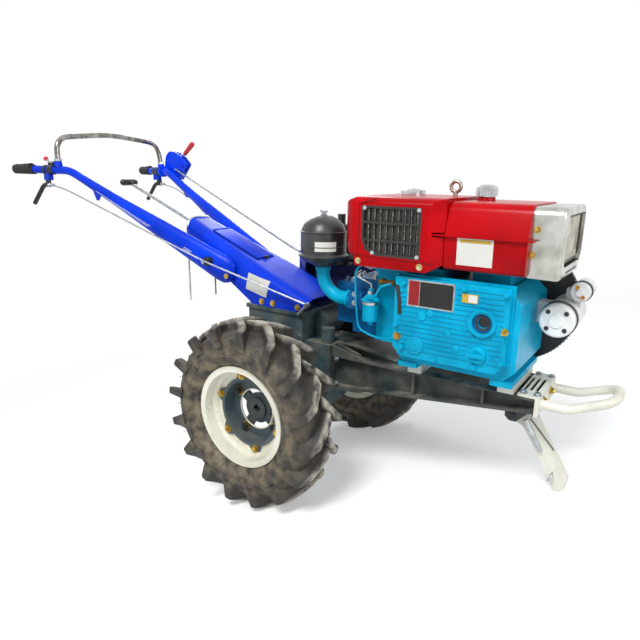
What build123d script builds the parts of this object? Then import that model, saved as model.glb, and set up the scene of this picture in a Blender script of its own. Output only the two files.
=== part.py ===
"""Two-wheel walking tractor with a horizontal single-cylinder diesel, parked on its front stand.

Every piece is drawn in the machine's own level frame, in millimetres: the origin is the middle of the
wheel axle, +X points forward to the bumper, +Y to the machine's left and +Z up. The last step turns the
whole machine nose-down about the axle, until the foot of the stand meets the floor, and lifts it onto
its tyres. The part's origin is on the floor below the middle of the parked machine.
"""
import os
from math import asin, atan2, cos, degrees, hypot, radians, sin

from build123d import *

# Wheels
TYRE_TIP_R = 312.0
CARCASS_R = 281.0
TYRE_HALF_WIDTH = 84.0
LUGS_PER_SIDE = 15
LUG_THICK = 27.0
LUG_SWEEP = 52.0
LUG_OUT_Y = 90.0
TRACK = 702.0
RIM_FLANGE_R = 170.0
RIM_SEAT_R = 152.0
RIM_HALF_WIDTH = 62.0
RIM_WALL = 5.0
RIM_RING_Y = 9.0
RIM_BOLT_CIRCLE_R = 125.0
DISC_IN_Y = -26.0
DISC_HOLE_R = 70.0
DISC_SHEET = 6.0
HUB_NUT_CIRCLE_R = 86.0
HUB_FLANGE_THICK = 12.0
HUB_BOSS_R = 36.0
AXLE_SHAFT_R = 24.0
AXLE_SHAFT_IN_Y = 180.0
RUNNING_FIT = 0.05
SEAT_GAP = 0.02

# Frame rails
RAIL_WEB_Y = 72.0
RAIL_OUT_Y = 108.0
RAIL_SHEET = 8.0
RAIL_TOP_Z = 164.0
RAIL_REAR_BOTTOM_Z = 41.0
RAIL_FRONT_BOTTOM_Z = 118.0
RAIL_RIB_X = (456.0, 677.0)
RAIL_SLOT_X = (500.0, 590.0, 790.0)
RAIL_SLOT_LENGTH = 52.0
RAIL_SLOT_WIDTH = 13.0
END_PLATE_X = 146.0
END_PLATE_THICK = 10.0
END_PLATE_HALF_Y = 124.0
END_PLATE_TOP_Z = 196.0
END_PLATE_BOTTOM_Z = 34.0
GUSSET_LENGTH = 96.0

# Front plate and bumper
FRONT_PLATE_X = 834.0
FRONT_PLATE_THICK = 10.0
FRONT_PLATE_DEPTH = 44.0
FRONT_PLATE_BOTTOM_Z = 112.0
FRONT_LEDGE_THICK = 6.0
FRONT_BOLT_Y = 46.0
FRONT_BOLT_R = 6.5
BUMPER_TUBE_R = 13.5
BUMPER_HALF_Y = 78.0
BUMPER_Z = 142.0
BUMPER_BEND_X = 905.0
BUMPER_TIP_X = 1030.0
BUMPER_TIP_Z = 200.0
BUMPER_TIP_HALF_Y = 62.0
BUMPER_CORNER_R = 44.0

# Front stand
STAND_PIVOT_X = 757.0
STAND_PIVOT_Z = 82.0
STAND_PIN_R = 7.0
STAND_EYE_R = 16.0
STAND_HALF_Y = 46.0
STAND_FOOT_X = 897.0
STAND_FOOT_Z = -130.0
STAND_TOP_FRONT_X = 806.0
STAND_DEPTH = 24.0
STAND_SHEET = 5.0
STAND_SIDE_GAP = 5.0
BRACKET_SHEET = 8.0
BRACKET_LENGTH = 84.0
SPRING_R = 8.0

# Engine
BAR_HEIGHT = 36.0
BAR_WIDTH = 44.0
BAR_RIGHT_Y = -150.0
BAR_LEFT_Y = 120.0
BAR_FRONT_X = 742.0
BAR_REAR_X = 462.0
CRANK_X = 685.0
CRANK_Z = 377.0
CASE_REAR_X = 424.0
CASE_FRONT_X = 776.0
CASE_RIGHT_Y = -164.0
CASE_LEFT_Y = 122.0
CASE_TOP_Z = 470.0
CASE_BOTTOM_Z = 216.0
COVER_FRONT_X = 752.0
COVER_THICK = 27.0
COVER_BOTTOM_Z = 240.0
COVER_TOP_Z = 478.0
COVER_CHAMFER = 26.0
COVER_RIB_PITCH = 14.0
COVER_RIB_HEIGHT = 3.0
COVER_RIB_THICK = 2.6
CRANK_BOSS_R = 38.0
CRANK_BORE_R = 14.0
BARREL_REAR_X = 320.0
BARREL_BOTTOM_Z = 246.0
BARREL_HALF_Y = 108.0
HEAD_REAR_X = 232.0
PLATE_X0 = 462.0
PLATE_X1 = 602.0
PLATE_Z0 = 398.0
PLATE_Z1 = 470.0
OIL_CAP_X = 679.0
OIL_CAP_Z = 287.0
OIL_CAP_R = 24.0
INLET_R = 20.0
INLET_Y = -126.0
INLET_Z = 372.0
CLEANER_X = 122.0
CLEANER_Z = 452.0
CLEANER_R = 71.0
FILTER_X = 322.0
FILTER_Y = -152.0
FILTER_R = 26.0
FILTER_TOP_Z = 404.0
FILTER_BOTTOM_Z = 306.0
STARTER_X = 838.0
STARTER_Z = 375.0
STARTER_R = 51.0
STARTER_RIGHT_Y = -62.0
SOLENOID_X = 886.0
SOLENOID_Z = 457.0
SOLENOID_R = 27.0
ROCKER_REAR_X = 158.0
HEAD_TOP_Z = 440.0
EXHAUST_X = 264.0
EXHAUST_R = 17.0
MUFFLER_X = 76.0
MUFFLER_Y = 62.0
MUFFLER_R = 42.0
MUFFLER_BOTTOM_Z = 440.0
MUFFLER_TOP_Z = 590.0
FLYWHEEL_R = 185.0
FLYWHEEL_GAP = 8.0
FLYWHEEL_THICK = 62.0
CRANK_SHAFT_R = 26.0
CRANK_PULLEY_R = 66.0
CLUTCH_PULLEY_R = 104.0
CLUTCH_X = 14.0
CLUTCH_Z = 232.0
CLUTCH_SHAFT_R = 20.0
PULLEY_WIDTH = 54.0
BELT_COUNT = 3
BELT_PITCH = 17.0
BELT_WIDTH = 13.0
BELT_DEPTH = 9.0
BELT_GAP = 0.3
GUARD_REAR_X = -160.0
GUARD_FRONT_X = 150.0
GUARD_TOP_Z = 448.0
GUARD_BOTTOM_Z = 112.0
GUARD_IN_Y = 150.0
GUARD_OUT_Y = 250.0
GUARD_SHEET = 3.0

# Bonnet, tank and lamp
HOOD_RIGHT_Y = -212.0
HOOD_LEFT_Y = 122.0
HOOD_BOTTOM_Z = 498.0
HOOD_TOP_Z = 694.0
HOOD_FRONT_X = 562.0
HOOD_EDGE_R = 24.0
GRILLE_REAR_X = 314.0
GRILLE_FRONT_X = 500.0
GRILLE_TOP_Z = 674.0
GRILLE_BOTTOM_Z = 532.0
GRILLE_DEPTH = 14.0
GRILLE_BAR = 7.0
GRILLE_CORNER_R = 46.0
TANK_RIGHT_Y = -196.0
TANK_LEFT_Y = 122.0
TANK_BOTTOM_Z = 512.0
TANK_TOP_Z = 692.0
TANK_RIDGE_Z = 604.0
TANK_RIDGE_REACH = 9.0
TANK_RIDGE_THICK = 4.0
LAMP_FRONT_X = 858.0
LAMP_REAR_X = 784.0
LAMP_RIGHT_Y = -168.0
LAMP_LEFT_Y = 108.0
LAMP_BOTTOM_Z = 506.0
LAMP_TOP_Z = 688.0
LAMP_WALL = 4.0
TANK_CAP_X = 605.0
RADIATOR_CAP_X = 374.0
LIFT_EYE_X = 511.0
CAP_R = 34.0
NECK_R = 24.0
EYE_R = 15.0
EYE_WIRE_R = 5.5

# Gearbox and hitch
GEARBOX_HALF_Y = 92.0
GEARBOX_REAR_X = -150.0
GEARBOX_LOW_R = 112.0
GEARBOX_UPPER_REAR_X = -214.0
GEARBOX_UPPER_FRONT_X = 30.0
GEARBOX_UPPER_HALF_Y = 112.0
GEARBOX_SHOULDER_Z = 186.0
GEARBOX_TOP_Z = 292.0
GEARBOX_FLANGE_THICK = 14.0
AXLE_HOUSING_R = 78.0
AXLE_HOUSING_NECK_R = 52.0
AXLE_HOUSING_END_Y = 262.0
HITCH_PIN_R = 12.5
HITCH_REACH = 92.0
HITCH_HALF_Y = 46.0
HITCH_EAR_THICK = 16.0
HITCH_Z = 40.0
HITCH_GAP_HALF_Z = 26.0

# Console and handles
CONSOLE_REAR_X = -583.0
CONSOLE_NOSE_X = 112.0
CONSOLE_HALF_Y = 122.0
CONSOLE_REAR_HALF_Y = 74.0
CONSOLE_WALL = 3.0
CONSOLE_EDGE_R = 30.0
LID_REAR_X = -446.0
LID_FRONT_X = -206.0
LID_HALF_Y = 58.0
LID_THICK = 6.0
LID_HINGE_R = 5.0
TOOL_WELL_DEPTH = 62.0
TOOL_WELL_MARGIN = 10.0
HANDLE_ROOT_X = -292.0
HANDLE_ROOT_Y = 142.0
HANDLE_ROOT_Z = 421.0
HANDLE_BEND_X = -1050.0
HANDLE_BEND_Y = 256.0
HANDLE_BEND_Z = 782.0
HANDLE_BEND_R = 150.0
HANDLE_END_X = -1322.0
HANDLE_END_Y = 331.0
HANDLE_END_Z = 762.0
HANDLE_ROOT_HEIGHT = 74.0
HANDLE_ROOT_WIDTH = 50.0
HANDLE_TUBE_R = 16.0
HANDLE_TAPER = (
    (-0.050, 0.30), (-0.042, 0.66), (-0.026, 0.90), (0.0, 1.0), (0.08, 1.0), (0.3, 0.86), (0.6, 0.66), (0.85, 0.5))
GRIP_R = 19.0
GRIP_LENGTH = 88.0
ARCH_X = -1113.0
ARCH_TUBE_R = 11.0
ARCH_TOP_Z = 924.0
ARCH_CORNER_R = 52.0
ARCH_LEAN = 30.0
LEVER_GRIP_R = 9.0
GRIP_RUN = 236.0
STEERING_BACK = 110.0
THROTTLE_BACK = 160.0
QUADRANT_BACK = 200.0
ROD_R = 4.0
ROD_STANDOFF = 12.0
ROD_KNEE_X = -330.0
ROD_KNEE_Z = 446.0
ROD_KNEE_OUT = 69.0
ROD_RIGHT_X = -20.0
ROD_RIGHT_Z = 352.0
ROD_LEFT_X = -190.0
ROD_LEFT_Z = 400.0

# Parking: the stand's heel is on the floor when the machine is turned nose-down by this angle
PARK_PITCH = degrees(
    asin(TYRE_TIP_R / hypot(STAND_FOOT_X, STAND_FOOT_Z)) - atan2(-STAND_FOOT_Z, STAND_FOOT_X))
PARKED_FRONT_X = BUMPER_TIP_X * cos(radians(PARK_PITCH)) + BUMPER_TIP_Z * sin(radians(PARK_PITCH))
PARKED_REAR_X = HANDLE_END_X * cos(radians(PARK_PITCH)) + (HANDLE_END_Z - GRIP_R) * sin(radians(PARK_PITCH))
AXLE_X = -(PARKED_FRONT_X + PARKED_REAR_X) / 2


def parked(shape):
    """Turns a piece of the level machine nose-down about the axle and stands it on the floor."""
    return Pos(AXLE_X, 0, TYRE_TIP_R) * Rot(0, PARK_PITCH, 0) * shape


def on_axle(shape):
    """Sets a wheel piece, drawn about its own middle, at the axle's height."""
    return Pos(AXLE_X, 0, TYRE_TIP_R) * shape


def block(x0, x1, y0, y1, z0, z1):
    """A box between two opposite corners."""
    return Pos((x0 + x1) / 2, (y0 + y1) / 2, (z0 + z1) / 2) * Box(abs(x1 - x0), abs(y1 - y0), abs(z1 - z0))


def side_profile(points, y0, y1):
    """A plate or case drawn as its side outline (x, z) and thick from y0 to y1."""
    low, high = min(y0, y1), max(y0, y1)
    return extrude(Plane.XZ.offset(-high) * Polygon(*points, align=None), amount=high - low, dir=(0, -1, 0))


def plan_profile(points, z0, z1):
    """A piece drawn as its plan outline (x, y) and thick from z0 to z1."""
    return extrude(Plane.XY.offset(z0) * Polygon(*points, align=None), amount=z1 - z0, dir=(0, 0, 1))


def across(x, z, radius, y0, y1):
    """A round bar that lies across the machine."""
    low, high = min(y0, y1), max(y0, y1)
    return Pos(x, (low + high) / 2, z) * Rot(90, 0, 0) * Cylinder(radius, high - low)


def along(y, z, radius, x0, x1):
    """A round bar that lies along the machine."""
    return Pos((x0 + x1) / 2, y, z) * Rot(0, 90, 0) * Cylinder(radius, x1 - x0)


def upright(x, y, radius, z0, z1):
    """A round bar that stands upright."""
    return Pos(x, y, (z0 + z1) / 2) * Cylinder(radius, z1 - z0)


def bar(start, end, radius):
    """A straight round bar between two points."""
    path = Line(start, end)
    return sweep(Plane(origin=start, z_dir=path % 0) * Circle(radius), path)


def bent_tube(points, radii, radius):
    """A round bar or tube along straight runs joined by arcs."""
    path = FilletPolyline(*points, radius=radii)
    return sweep(Plane(origin=points[0], z_dir=path % 0) * Circle(radius), path)


def turned(profile, y_offset=0.0):
    """A turned piece about the wheel's axis: profile points are (y, r)."""
    face = Pos(0, y_offset, 0) * (Plane.YZ * Polygon(*profile, align=None))
    return revolve(face, Axis.Y)


def mirrored(shape):
    """The same piece on the machine's left side."""
    return mirror(shape, Plane.XZ)


# Wheels: drawn for the left side, where +Y points out of the machine

def lug(side):
    """One tyre lug: a bar from the middle of the tread that sweeps back over the shoulder."""
    bar_plan = [
        (LUG_SWEEP / 2 + LUG_THICK * 0.6, -side * 6),
        (LUG_SWEEP / 2 - LUG_THICK * 0.6, -side * 6),
        (-LUG_SWEEP / 2 + 4, side * LUG_OUT_Y * 0.6),
        (-LUG_SWEEP / 2 - LUG_THICK / 2, side * LUG_OUT_Y),
        (-LUG_SWEEP / 2 + LUG_THICK / 2, side * LUG_OUT_Y),
        (-LUG_SWEEP / 2 + LUG_THICK + 12, side * LUG_OUT_Y * 0.6),
    ]
    return plan_profile(bar_plan, CARCASS_R - 46, TYRE_TIP_R + 10)


def tyre():
    """Carcass with two staggered rows of tall lugs."""
    half = TYRE_HALF_WIDTH
    carcass = turned([
        (-RIM_HALF_WIDTH + RIM_WALL, RIM_SEAT_R), (-RIM_HALF_WIDTH + RIM_WALL, RIM_FLANGE_R),
        (-RIM_HALF_WIDTH, RIM_FLANGE_R + 1), (-half, RIM_FLANGE_R + 48), (-half + 6, CARCASS_R - 30), (-half + 34, CARCASS_R - 5), (0, CARCASS_R),
        (half - 34, CARCASS_R - 5), (half - 6, CARCASS_R - 30), (half, RIM_FLANGE_R + 48),
        (RIM_HALF_WIDTH, RIM_FLANGE_R + 1), (RIM_HALF_WIDTH - RIM_WALL, RIM_FLANGE_R),
        (RIM_HALF_WIDTH - RIM_WALL, RIM_SEAT_R),
    ])
    envelope = turned([
        (-LUG_OUT_Y, CARCASS_R - 42), (-LUG_OUT_Y, TYRE_TIP_R - 22), (-LUG_OUT_Y + 16, TYRE_TIP_R - 8),
        (-28, TYRE_TIP_R), (28, TYRE_TIP_R), (LUG_OUT_Y - 16, TYRE_TIP_R - 8), (LUG_OUT_Y, TYRE_TIP_R - 22),
        (LUG_OUT_Y, CARCASS_R - 42), (half - 8, CARCASS_R - 42), (half - 40, CARCASS_R - 10),
        (-half + 40, CARCASS_R - 10), (-half + 8, CARCASS_R - 42),
    ])
    pitch = 360.0 / LUGS_PER_SIDE
    lugs = []
    for index in range(LUGS_PER_SIDE):
        lugs.append(Rot(0, 180 + index * pitch, 0) * lug(1))
        lugs.append(Rot(0, 180 + (index + 0.5) * pitch, 0) * lug(-1))
    trimmed = [piece & envelope for piece in lugs]
    return carcass.fuse(*trimmed)


def rim():
    """Steel barrel with rolled flanges and an inner ring for the disc's bolts."""
    w, t = RIM_HALF_WIDTH, RIM_WALL
    barrel = turned([
        (-w, RIM_FLANGE_R), (-w, RIM_SEAT_R - t), (-24, RIM_SEAT_R - t), (-16, RIM_SEAT_R - 16),
        (RIM_RING_Y - t, RIM_SEAT_R - 16), (RIM_RING_Y - t, RIM_BOLT_CIRCLE_R - 15),
        (RIM_RING_Y, RIM_BOLT_CIRCLE_R - 15), (RIM_RING_Y, RIM_SEAT_R - 16), (18, RIM_SEAT_R - 14),
        (30, RIM_SEAT_R - t), (w, RIM_SEAT_R - t + 4), (w, RIM_FLANGE_R), (w - t, RIM_FLANGE_R),
        (w - t, RIM_SEAT_R), (-w + t, RIM_SEAT_R), (-w + t, RIM_FLANGE_R),
    ])
    return barrel


def wheel_disc():
    """Dished steel disc bolted inside the rim's ring, with a wide hole in the middle."""
    back = RIM_RING_Y - RIM_WALL
    out_r = RIM_BOLT_CIRCLE_R + 9
    disc = turned([
        (back, out_r), (back, RIM_BOLT_CIRCLE_R - 12), (DISC_IN_Y, HUB_NUT_CIRCLE_R + 18),
        (DISC_IN_Y, DISC_HOLE_R), (DISC_IN_Y - DISC_SHEET, DISC_HOLE_R),
        (DISC_IN_Y - DISC_SHEET, HUB_NUT_CIRCLE_R + 22), (back - DISC_SHEET, RIM_BOLT_CIRCLE_R - 8),
        (back - DISC_SHEET, out_r),
    ])
    return disc


def hub():
    """Four-armed hub flange behind the disc, on the end of the axle shaft."""
    front = DISC_IN_Y - DISC_SHEET
    back = front - HUB_FLANGE_THICK
    star = across(0, 0, HUB_BOSS_R + 16, back, front)
    for index in range(4):
        arm = across(HUB_NUT_CIRCLE_R, 0, 19, back, front) + block(0, HUB_NUT_CIRCLE_R, back, front, -17, 17)
        star += Rot(0, 45 + index * 90, 0) * arm
    neck_in = AXLE_HOUSING_END_Y + STAND_SIDE_GAP - TRACK / 2
    shaft_in = AXLE_SHAFT_IN_Y - TRACK / 2
    neck = across(0, 0, HUB_BOSS_R, neck_in, front + 7)
    shaft = across(0, 0, AXLE_SHAFT_R, shaft_in, neck_in)
    square_hole = Rot(0, 45, 0) * block(-12, 12, front - 14, front + 10, -12, 12)
    return star + neck + shaft - square_hole


# Frame

def rail_outline(inset=0.0):
    """Side outline of a rail: level on top, its depth tapering to the front."""
    rear_x = END_PLATE_X + END_PLATE_THICK
    front_x = FRONT_PLATE_X - FRONT_PLATE_THICK
    return [
        (rear_x, RAIL_TOP_Z - inset), (rear_x, RAIL_REAR_BOTTOM_Z + inset),
        (front_x, RAIL_FRONT_BOTTOM_Z + inset), (front_x, RAIL_TOP_Z - inset),
    ]


def frame_rail():
    """Left rail: a tapered channel, open outwards, with stiffeners and slots for the engine bars."""
    rail = side_profile(rail_outline(), RAIL_WEB_Y, RAIL_OUT_Y)
    rail -= side_profile(rail_outline(RAIL_SHEET), RAIL_WEB_Y + RAIL_SHEET, RAIL_OUT_Y)
    for rib_x in RAIL_RIB_X:
        rib = block(rib_x - 4, rib_x + 4, RAIL_WEB_Y + RAIL_SHEET, RAIL_OUT_Y - 5, 0, RAIL_TOP_Z)
        rail += rib & side_profile(rail_outline(RAIL_SHEET), RAIL_WEB_Y, RAIL_OUT_Y)
    slot_y = (RAIL_WEB_Y + RAIL_SHEET + RAIL_OUT_Y) / 2
    for slot_x in RAIL_SLOT_X:
        slot = SlotOverall(RAIL_SLOT_LENGTH, RAIL_SLOT_WIDTH)
        rail -= Pos(slot_x, slot_y, RAIL_TOP_Z - RAIL_SHEET) * extrude(slot, amount=RAIL_SHEET)
    return rail


def frame_end_plate():
    """Plate across the rear of both rails, bolted to the gearbox, with corner gussets."""
    x0, x1 = END_PLATE_X, END_PLATE_X + END_PLATE_THICK
    half, top, low = END_PLATE_HALF_Y, END_PLATE_TOP_Z, END_PLATE_BOTTOM_Z
    plate = block(x0, x1, -half, half, low, top)
    slope = (RAIL_FRONT_BOTTOM_Z - RAIL_REAR_BOTTOM_Z) / (FRONT_PLATE_X - FRONT_PLATE_THICK - x1)
    upper = [(x1, top), (x1, RAIL_TOP_Z), (x1 + GUSSET_LENGTH, RAIL_TOP_Z), (x1 + GUSSET_LENGTH, RAIL_TOP_Z + 5)]
    lower = [
        (x1, low), (x1, RAIL_REAR_BOTTOM_Z), (x1 + GUSSET_LENGTH, RAIL_REAR_BOTTOM_Z + slope * GUSSET_LENGTH),
        (x1 + GUSSET_LENGTH, RAIL_REAR_BOTTOM_Z + slope * GUSSET_LENGTH - 5),
    ]
    for side in (-1, 1):
        for outline in (upper, lower):
            plate += side_profile(outline, side * (RAIL_OUT_Y - RAIL_SHEET), side * RAIL_OUT_Y)
            plate += side_profile(outline, side * RAIL_WEB_Y, side * (RAIL_WEB_Y + RAIL_SHEET))
    return plate


def front_plate():
    """Bent plate bolted over the rails' front ends."""
    x1, x0 = FRONT_PLATE_X, FRONT_PLATE_X - FRONT_PLATE_DEPTH
    top = RAIL_TOP_Z + FRONT_LEDGE_THICK
    plate = block(x0, x1, -RAIL_OUT_Y, RAIL_OUT_Y, RAIL_TOP_Z, top)
    plate += block(x1 - FRONT_PLATE_THICK, x1, -RAIL_OUT_Y, RAIL_OUT_Y, FRONT_PLATE_BOTTOM_Z, RAIL_TOP_Z)
    for side in (-1, 1):
        plate -= along(side * FRONT_BOLT_Y, BUMPER_Z, FRONT_BOLT_R, x1 - 20, x1 + 10)
    return plate


def bumper_loop():
    """Closed loop of tube that guards the engine's front."""
    tip_x = BUMPER_TIP_X - BUMPER_TUBE_R
    tip_z = BUMPER_TIP_Z - BUMPER_TUBE_R
    points = [
        (FRONT_PLATE_X, -BUMPER_HALF_Y, BUMPER_Z), (BUMPER_BEND_X, -BUMPER_HALF_Y, BUMPER_Z),
        (tip_x, -BUMPER_TIP_HALF_Y, tip_z), (tip_x, BUMPER_TIP_HALF_Y, tip_z),
        (BUMPER_BEND_X, BUMPER_HALF_Y, BUMPER_Z), (FRONT_PLATE_X, BUMPER_HALF_Y, BUMPER_Z),
    ]
    radii = [70, BUMPER_CORNER_R, BUMPER_CORNER_R, 70]
    return bent_tube(points, radii, BUMPER_TUBE_R)


def engine_mount_bars():
    """Two square cross bars that carry the engine on the rails."""
    z0, z1 = RAIL_TOP_Z, RAIL_TOP_Z + BAR_HEIGHT
    bars = []
    for x in (BAR_REAR_X, BAR_FRONT_X):
        bars.append(block(x - BAR_WIDTH / 2, x + BAR_WIDTH / 2, BAR_RIGHT_Y, BAR_LEFT_Y, z0, z1))
    return Compound(bars)


def shield_sheet():
    """Sloping sheet between the gearbox and the engine's cylinder."""
    x0 = END_PLATE_X + END_PLATE_THICK
    outline = [
        (x0, END_PLATE_TOP_Z), (x0, END_PLATE_TOP_Z - 4), (x0 + 60, END_PLATE_TOP_Z - 4), (372, RAIL_TOP_Z + 4),
        (372, RAIL_TOP_Z), (380, RAIL_TOP_Z), (380, RAIL_TOP_Z + 8), (x0 + 62, END_PLATE_TOP_Z),
    ]
    return side_profile(outline, -RAIL_WEB_Y + 2, RAIL_WEB_Y - 2)


# Front stand

STAND_ANGLE = atan2(STAND_FOOT_Z - 47, STAND_FOOT_X - 790)


def stand_leg():
    """Folded steel leg: two cheeks joined by a front face, with an eye at the pivot pin."""
    ux, uz = cos(STAND_ANGLE), sin(STAND_ANGLE)
    heel = (STAND_FOOT_X, STAND_FOOT_Z)
    toe = (heel[0] - uz * STAND_DEPTH, heel[1] + ux * STAND_DEPTH)
    top = STAND_PIVOT_Z + STAND_EYE_R - 0.3
    length = hypot(STAND_FOOT_X - 790, STAND_FOOT_Z - 47)
    knee = (heel[0] - ux * length, heel[1] - uz * length)
    chin = (toe[0] - ux * (length + 14), toe[1] - uz * (length + 14))
    cheek_outline = [
        heel, toe, chin, (chin[0] + 4, top), (STAND_PIVOT_X, top), (STAND_PIVOT_X - STAND_EYE_R, STAND_PIVOT_Z),
        (STAND_PIVOT_X - 10, STAND_PIVOT_Z - 13), knee,
    ]
    inner = STAND_HALF_Y - STAND_SHEET
    cheeks = side_profile(cheek_outline, -STAND_HALF_Y, STAND_HALF_Y)
    cheeks -= side_profile(cheek_outline, -inner, inner)
    face_outline = [
        toe, chin, (chin[0] + uz * STAND_SHEET, chin[1] - ux * STAND_SHEET),
        (toe[0] + uz * STAND_SHEET, toe[1] - ux * STAND_SHEET),
    ]
    leg = cheeks + side_profile(face_outline, -STAND_HALF_Y, STAND_HALF_Y)
    leg += across(STAND_PIVOT_X, STAND_PIVOT_Z, 12, -inner, inner)
    leg -= across(STAND_PIVOT_X, STAND_PIVOT_Z, STAND_PIN_R + RUNNING_FIT, -STAND_HALF_Y, STAND_HALF_Y)
    return leg


def stand_bracket():
    """Cross plate between the rails with two ears, the pivot pin and the stop for the leg."""
    x0, x1 = STAND_PIVOT_X - 22, STAND_PIVOT_X - 22 + BRACKET_LENGTH
    plate_z0 = RAIL_FRONT_BOTTOM_Z
    plate = block(x0, x1, -RAIL_WEB_Y, RAIL_WEB_Y, plate_z0, plate_z0 + BRACKET_SHEET)
    ear_in = STAND_HALF_Y + STAND_SIDE_GAP
    for side in (-1, 1):
        ear = side_profile(
            [(x0, plate_z0), (x0, STAND_PIVOT_Z - 8), (x0 + 14, STAND_PIVOT_Z - 20), (x0 + 34, STAND_PIVOT_Z - 20),
             (x1, plate_z0)], side * ear_in, side * (ear_in + BRACKET_SHEET))
        plate += ear
    stop_z = STAND_PIVOT_Z + STAND_EYE_R
    plate += block(x1 - 12, x1, -STAND_HALF_Y, STAND_HALF_Y, stop_z, plate_z0)
    pin = across(STAND_PIVOT_X, STAND_PIVOT_Z, STAND_PIN_R, -ear_in - BRACKET_SHEET - 6, ear_in + BRACKET_SHEET + 6)
    return plate + pin


# Engine

def crank_bore(y0, y1, radius=CRANK_BORE_R):
    return across(CRANK_X, CRANK_Z, radius, y0, y1)


def engine_block():
    """Cast case: crankcase in front, barrel with its water hopper behind, four feet on the bars."""
    y0, y1 = CASE_RIGHT_Y, CASE_LEFT_Y
    foot_z = RAIL_TOP_Z + BAR_HEIGHT
    case = side_profile([
        (CASE_REAR_X, CASE_TOP_Z), (CASE_REAR_X, CASE_BOTTOM_Z + 20), (CASE_REAR_X + 20, CASE_BOTTOM_Z),
        (CASE_FRONT_X - 30, CASE_BOTTOM_Z), (CASE_FRONT_X, CASE_BOTTOM_Z + 30), (CASE_FRONT_X, CASE_TOP_Z - 40),
        (CASE_FRONT_X - 40, CASE_TOP_Z)], y0, y1)
    barrel = block(BARREL_REAR_X, CASE_REAR_X, -BARREL_HALF_Y, BARREL_HALF_Y, BARREL_BOTTOM_Z, CASE_TOP_Z)
    hopper = block(BARREL_REAR_X, HOOD_FRONT_X - 20, -BARREL_HALF_Y - 20, BARREL_HALF_Y, CASE_TOP_Z, HOOD_BOTTOM_Z)
    saddle = block(620, CASE_FRONT_X - 50, -BARREL_HALF_Y, BARREL_HALF_Y, CASE_TOP_Z, TANK_BOTTOM_Z)
    body = case + barrel + hopper + saddle
    for x in (BAR_REAR_X, BAR_FRONT_X):
        body += block(x - 30, x + 30, y0 - 4, y1 - 4, foot_z, CASE_BOTTOM_Z)
    body -= crank_bore(y1 - 60, y1, CRANK_SHAFT_R + RUNNING_FIT)
    return body


def cover_outline(inset=0.0):
    """Side outline of the gear cover: square on top, its lower corners cut off."""
    c = COVER_CHAMFER
    return [
        (CASE_REAR_X - 2 + inset, COVER_TOP_Z - inset), (CASE_REAR_X - 2 + inset, COVER_BOTTOM_Z + c),
        (CASE_REAR_X - 2 + c, COVER_BOTTOM_Z + inset), (COVER_FRONT_X - c, COVER_BOTTOM_Z + inset),
        (COVER_FRONT_X - inset, COVER_BOTTOM_Z + c), (COVER_FRONT_X - inset, COVER_TOP_Z - inset),
    ]


def gear_cover():
    """Ribbed cast cover over the timing gears, with the hand-crank boss and the oil filler."""
    face_y = CASE_RIGHT_Y - COVER_THICK
    cover = side_profile(cover_outline(), face_y, CASE_RIGHT_Y)
    cover += side_profile(cover_outline(-6), CASE_RIGHT_Y - 8, CASE_RIGHT_Y)
    ribs = []
    rib_z = COVER_BOTTOM_Z + COVER_CHAMFER
    while rib_z < COVER_TOP_Z - 8:
        ribs.append(block(CASE_REAR_X + 12, COVER_FRONT_X - 12, face_y - COVER_RIB_HEIGHT, face_y,
                          rib_z, rib_z + COVER_RIB_THICK))
        rib_z += COVER_RIB_PITCH
    field = Compound(ribs)
    field -= block(PLATE_X0 - 5, PLATE_X1 + 5, face_y - 10, face_y, PLATE_Z0 - 5, PLATE_Z1 + 5)
    field -= across(CRANK_X, CRANK_Z, CRANK_BOSS_R + 6, face_y - 10, face_y)
    field -= across(OIL_CAP_X, OIL_CAP_Z, OIL_CAP_R + 10, face_y - 10, face_y)
    cover = cover.fuse(*field.solids())
    cover += across(CRANK_X, CRANK_Z, CRANK_BOSS_R, face_y - 8, face_y)
    cover -= across(CRANK_X, CRANK_Z, CRANK_BOSS_R - 10, face_y - 8, face_y + 4)
    cover -= across(CRANK_X, CRANK_Z, CRANK_BORE_R, face_y - 8, CASE_RIGHT_Y)
    cover += across(OIL_CAP_X, OIL_CAP_Z, OIL_CAP_R, face_y - 7, face_y)
    return cover


def cylinder_head():
    """Head and rocker cover behind the barrel, with the inlet port on the right."""
    head = block(HEAD_REAR_X, BARREL_REAR_X, -104, 98, 258, HEAD_TOP_Z)
    rocker = block(ROCKER_REAR_X, HEAD_REAR_X, -92, 84, 282, 418)
    rocker = fillet(rocker.edges().group_by(Axis.X)[0], 12)
    port = block(HEAD_REAR_X + 6, HEAD_REAR_X + 56, INLET_Y - INLET_R - 4, -104, INLET_Z - 26, INLET_Z + 26)
    return head + rocker + port


def intake_elbow():
    """Cast elbow from the air cleaner's foot to the inlet port."""
    points = [
        (CLEANER_X, INLET_Y, CLEANER_Z), (CLEANER_X, INLET_Y, INLET_Z), (HEAD_REAR_X + 6, INLET_Y, INLET_Z)]
    return bent_tube(points, [56], INLET_R)


def air_cleaner():
    """Oil-bath air cleaner: domed top, belted drum and bowl."""
    drum = CLEANER_R
    profile = [
        (0, 180), (26, 177), (drum - 16, 158), (drum - 6, 142), (drum, 138), (drum, 52), (drum + 4, 50),
        (drum + 4, 44), (drum - 14, 26), (INLET_R + 12, 6), (INLET_R + 4, 0), (0, 0),
    ]
    face = Plane.XZ * Polygon(*profile, align=None)
    return Pos(CLEANER_X, INLET_Y, CLEANER_Z) * revolve(face, Axis.Z)


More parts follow.
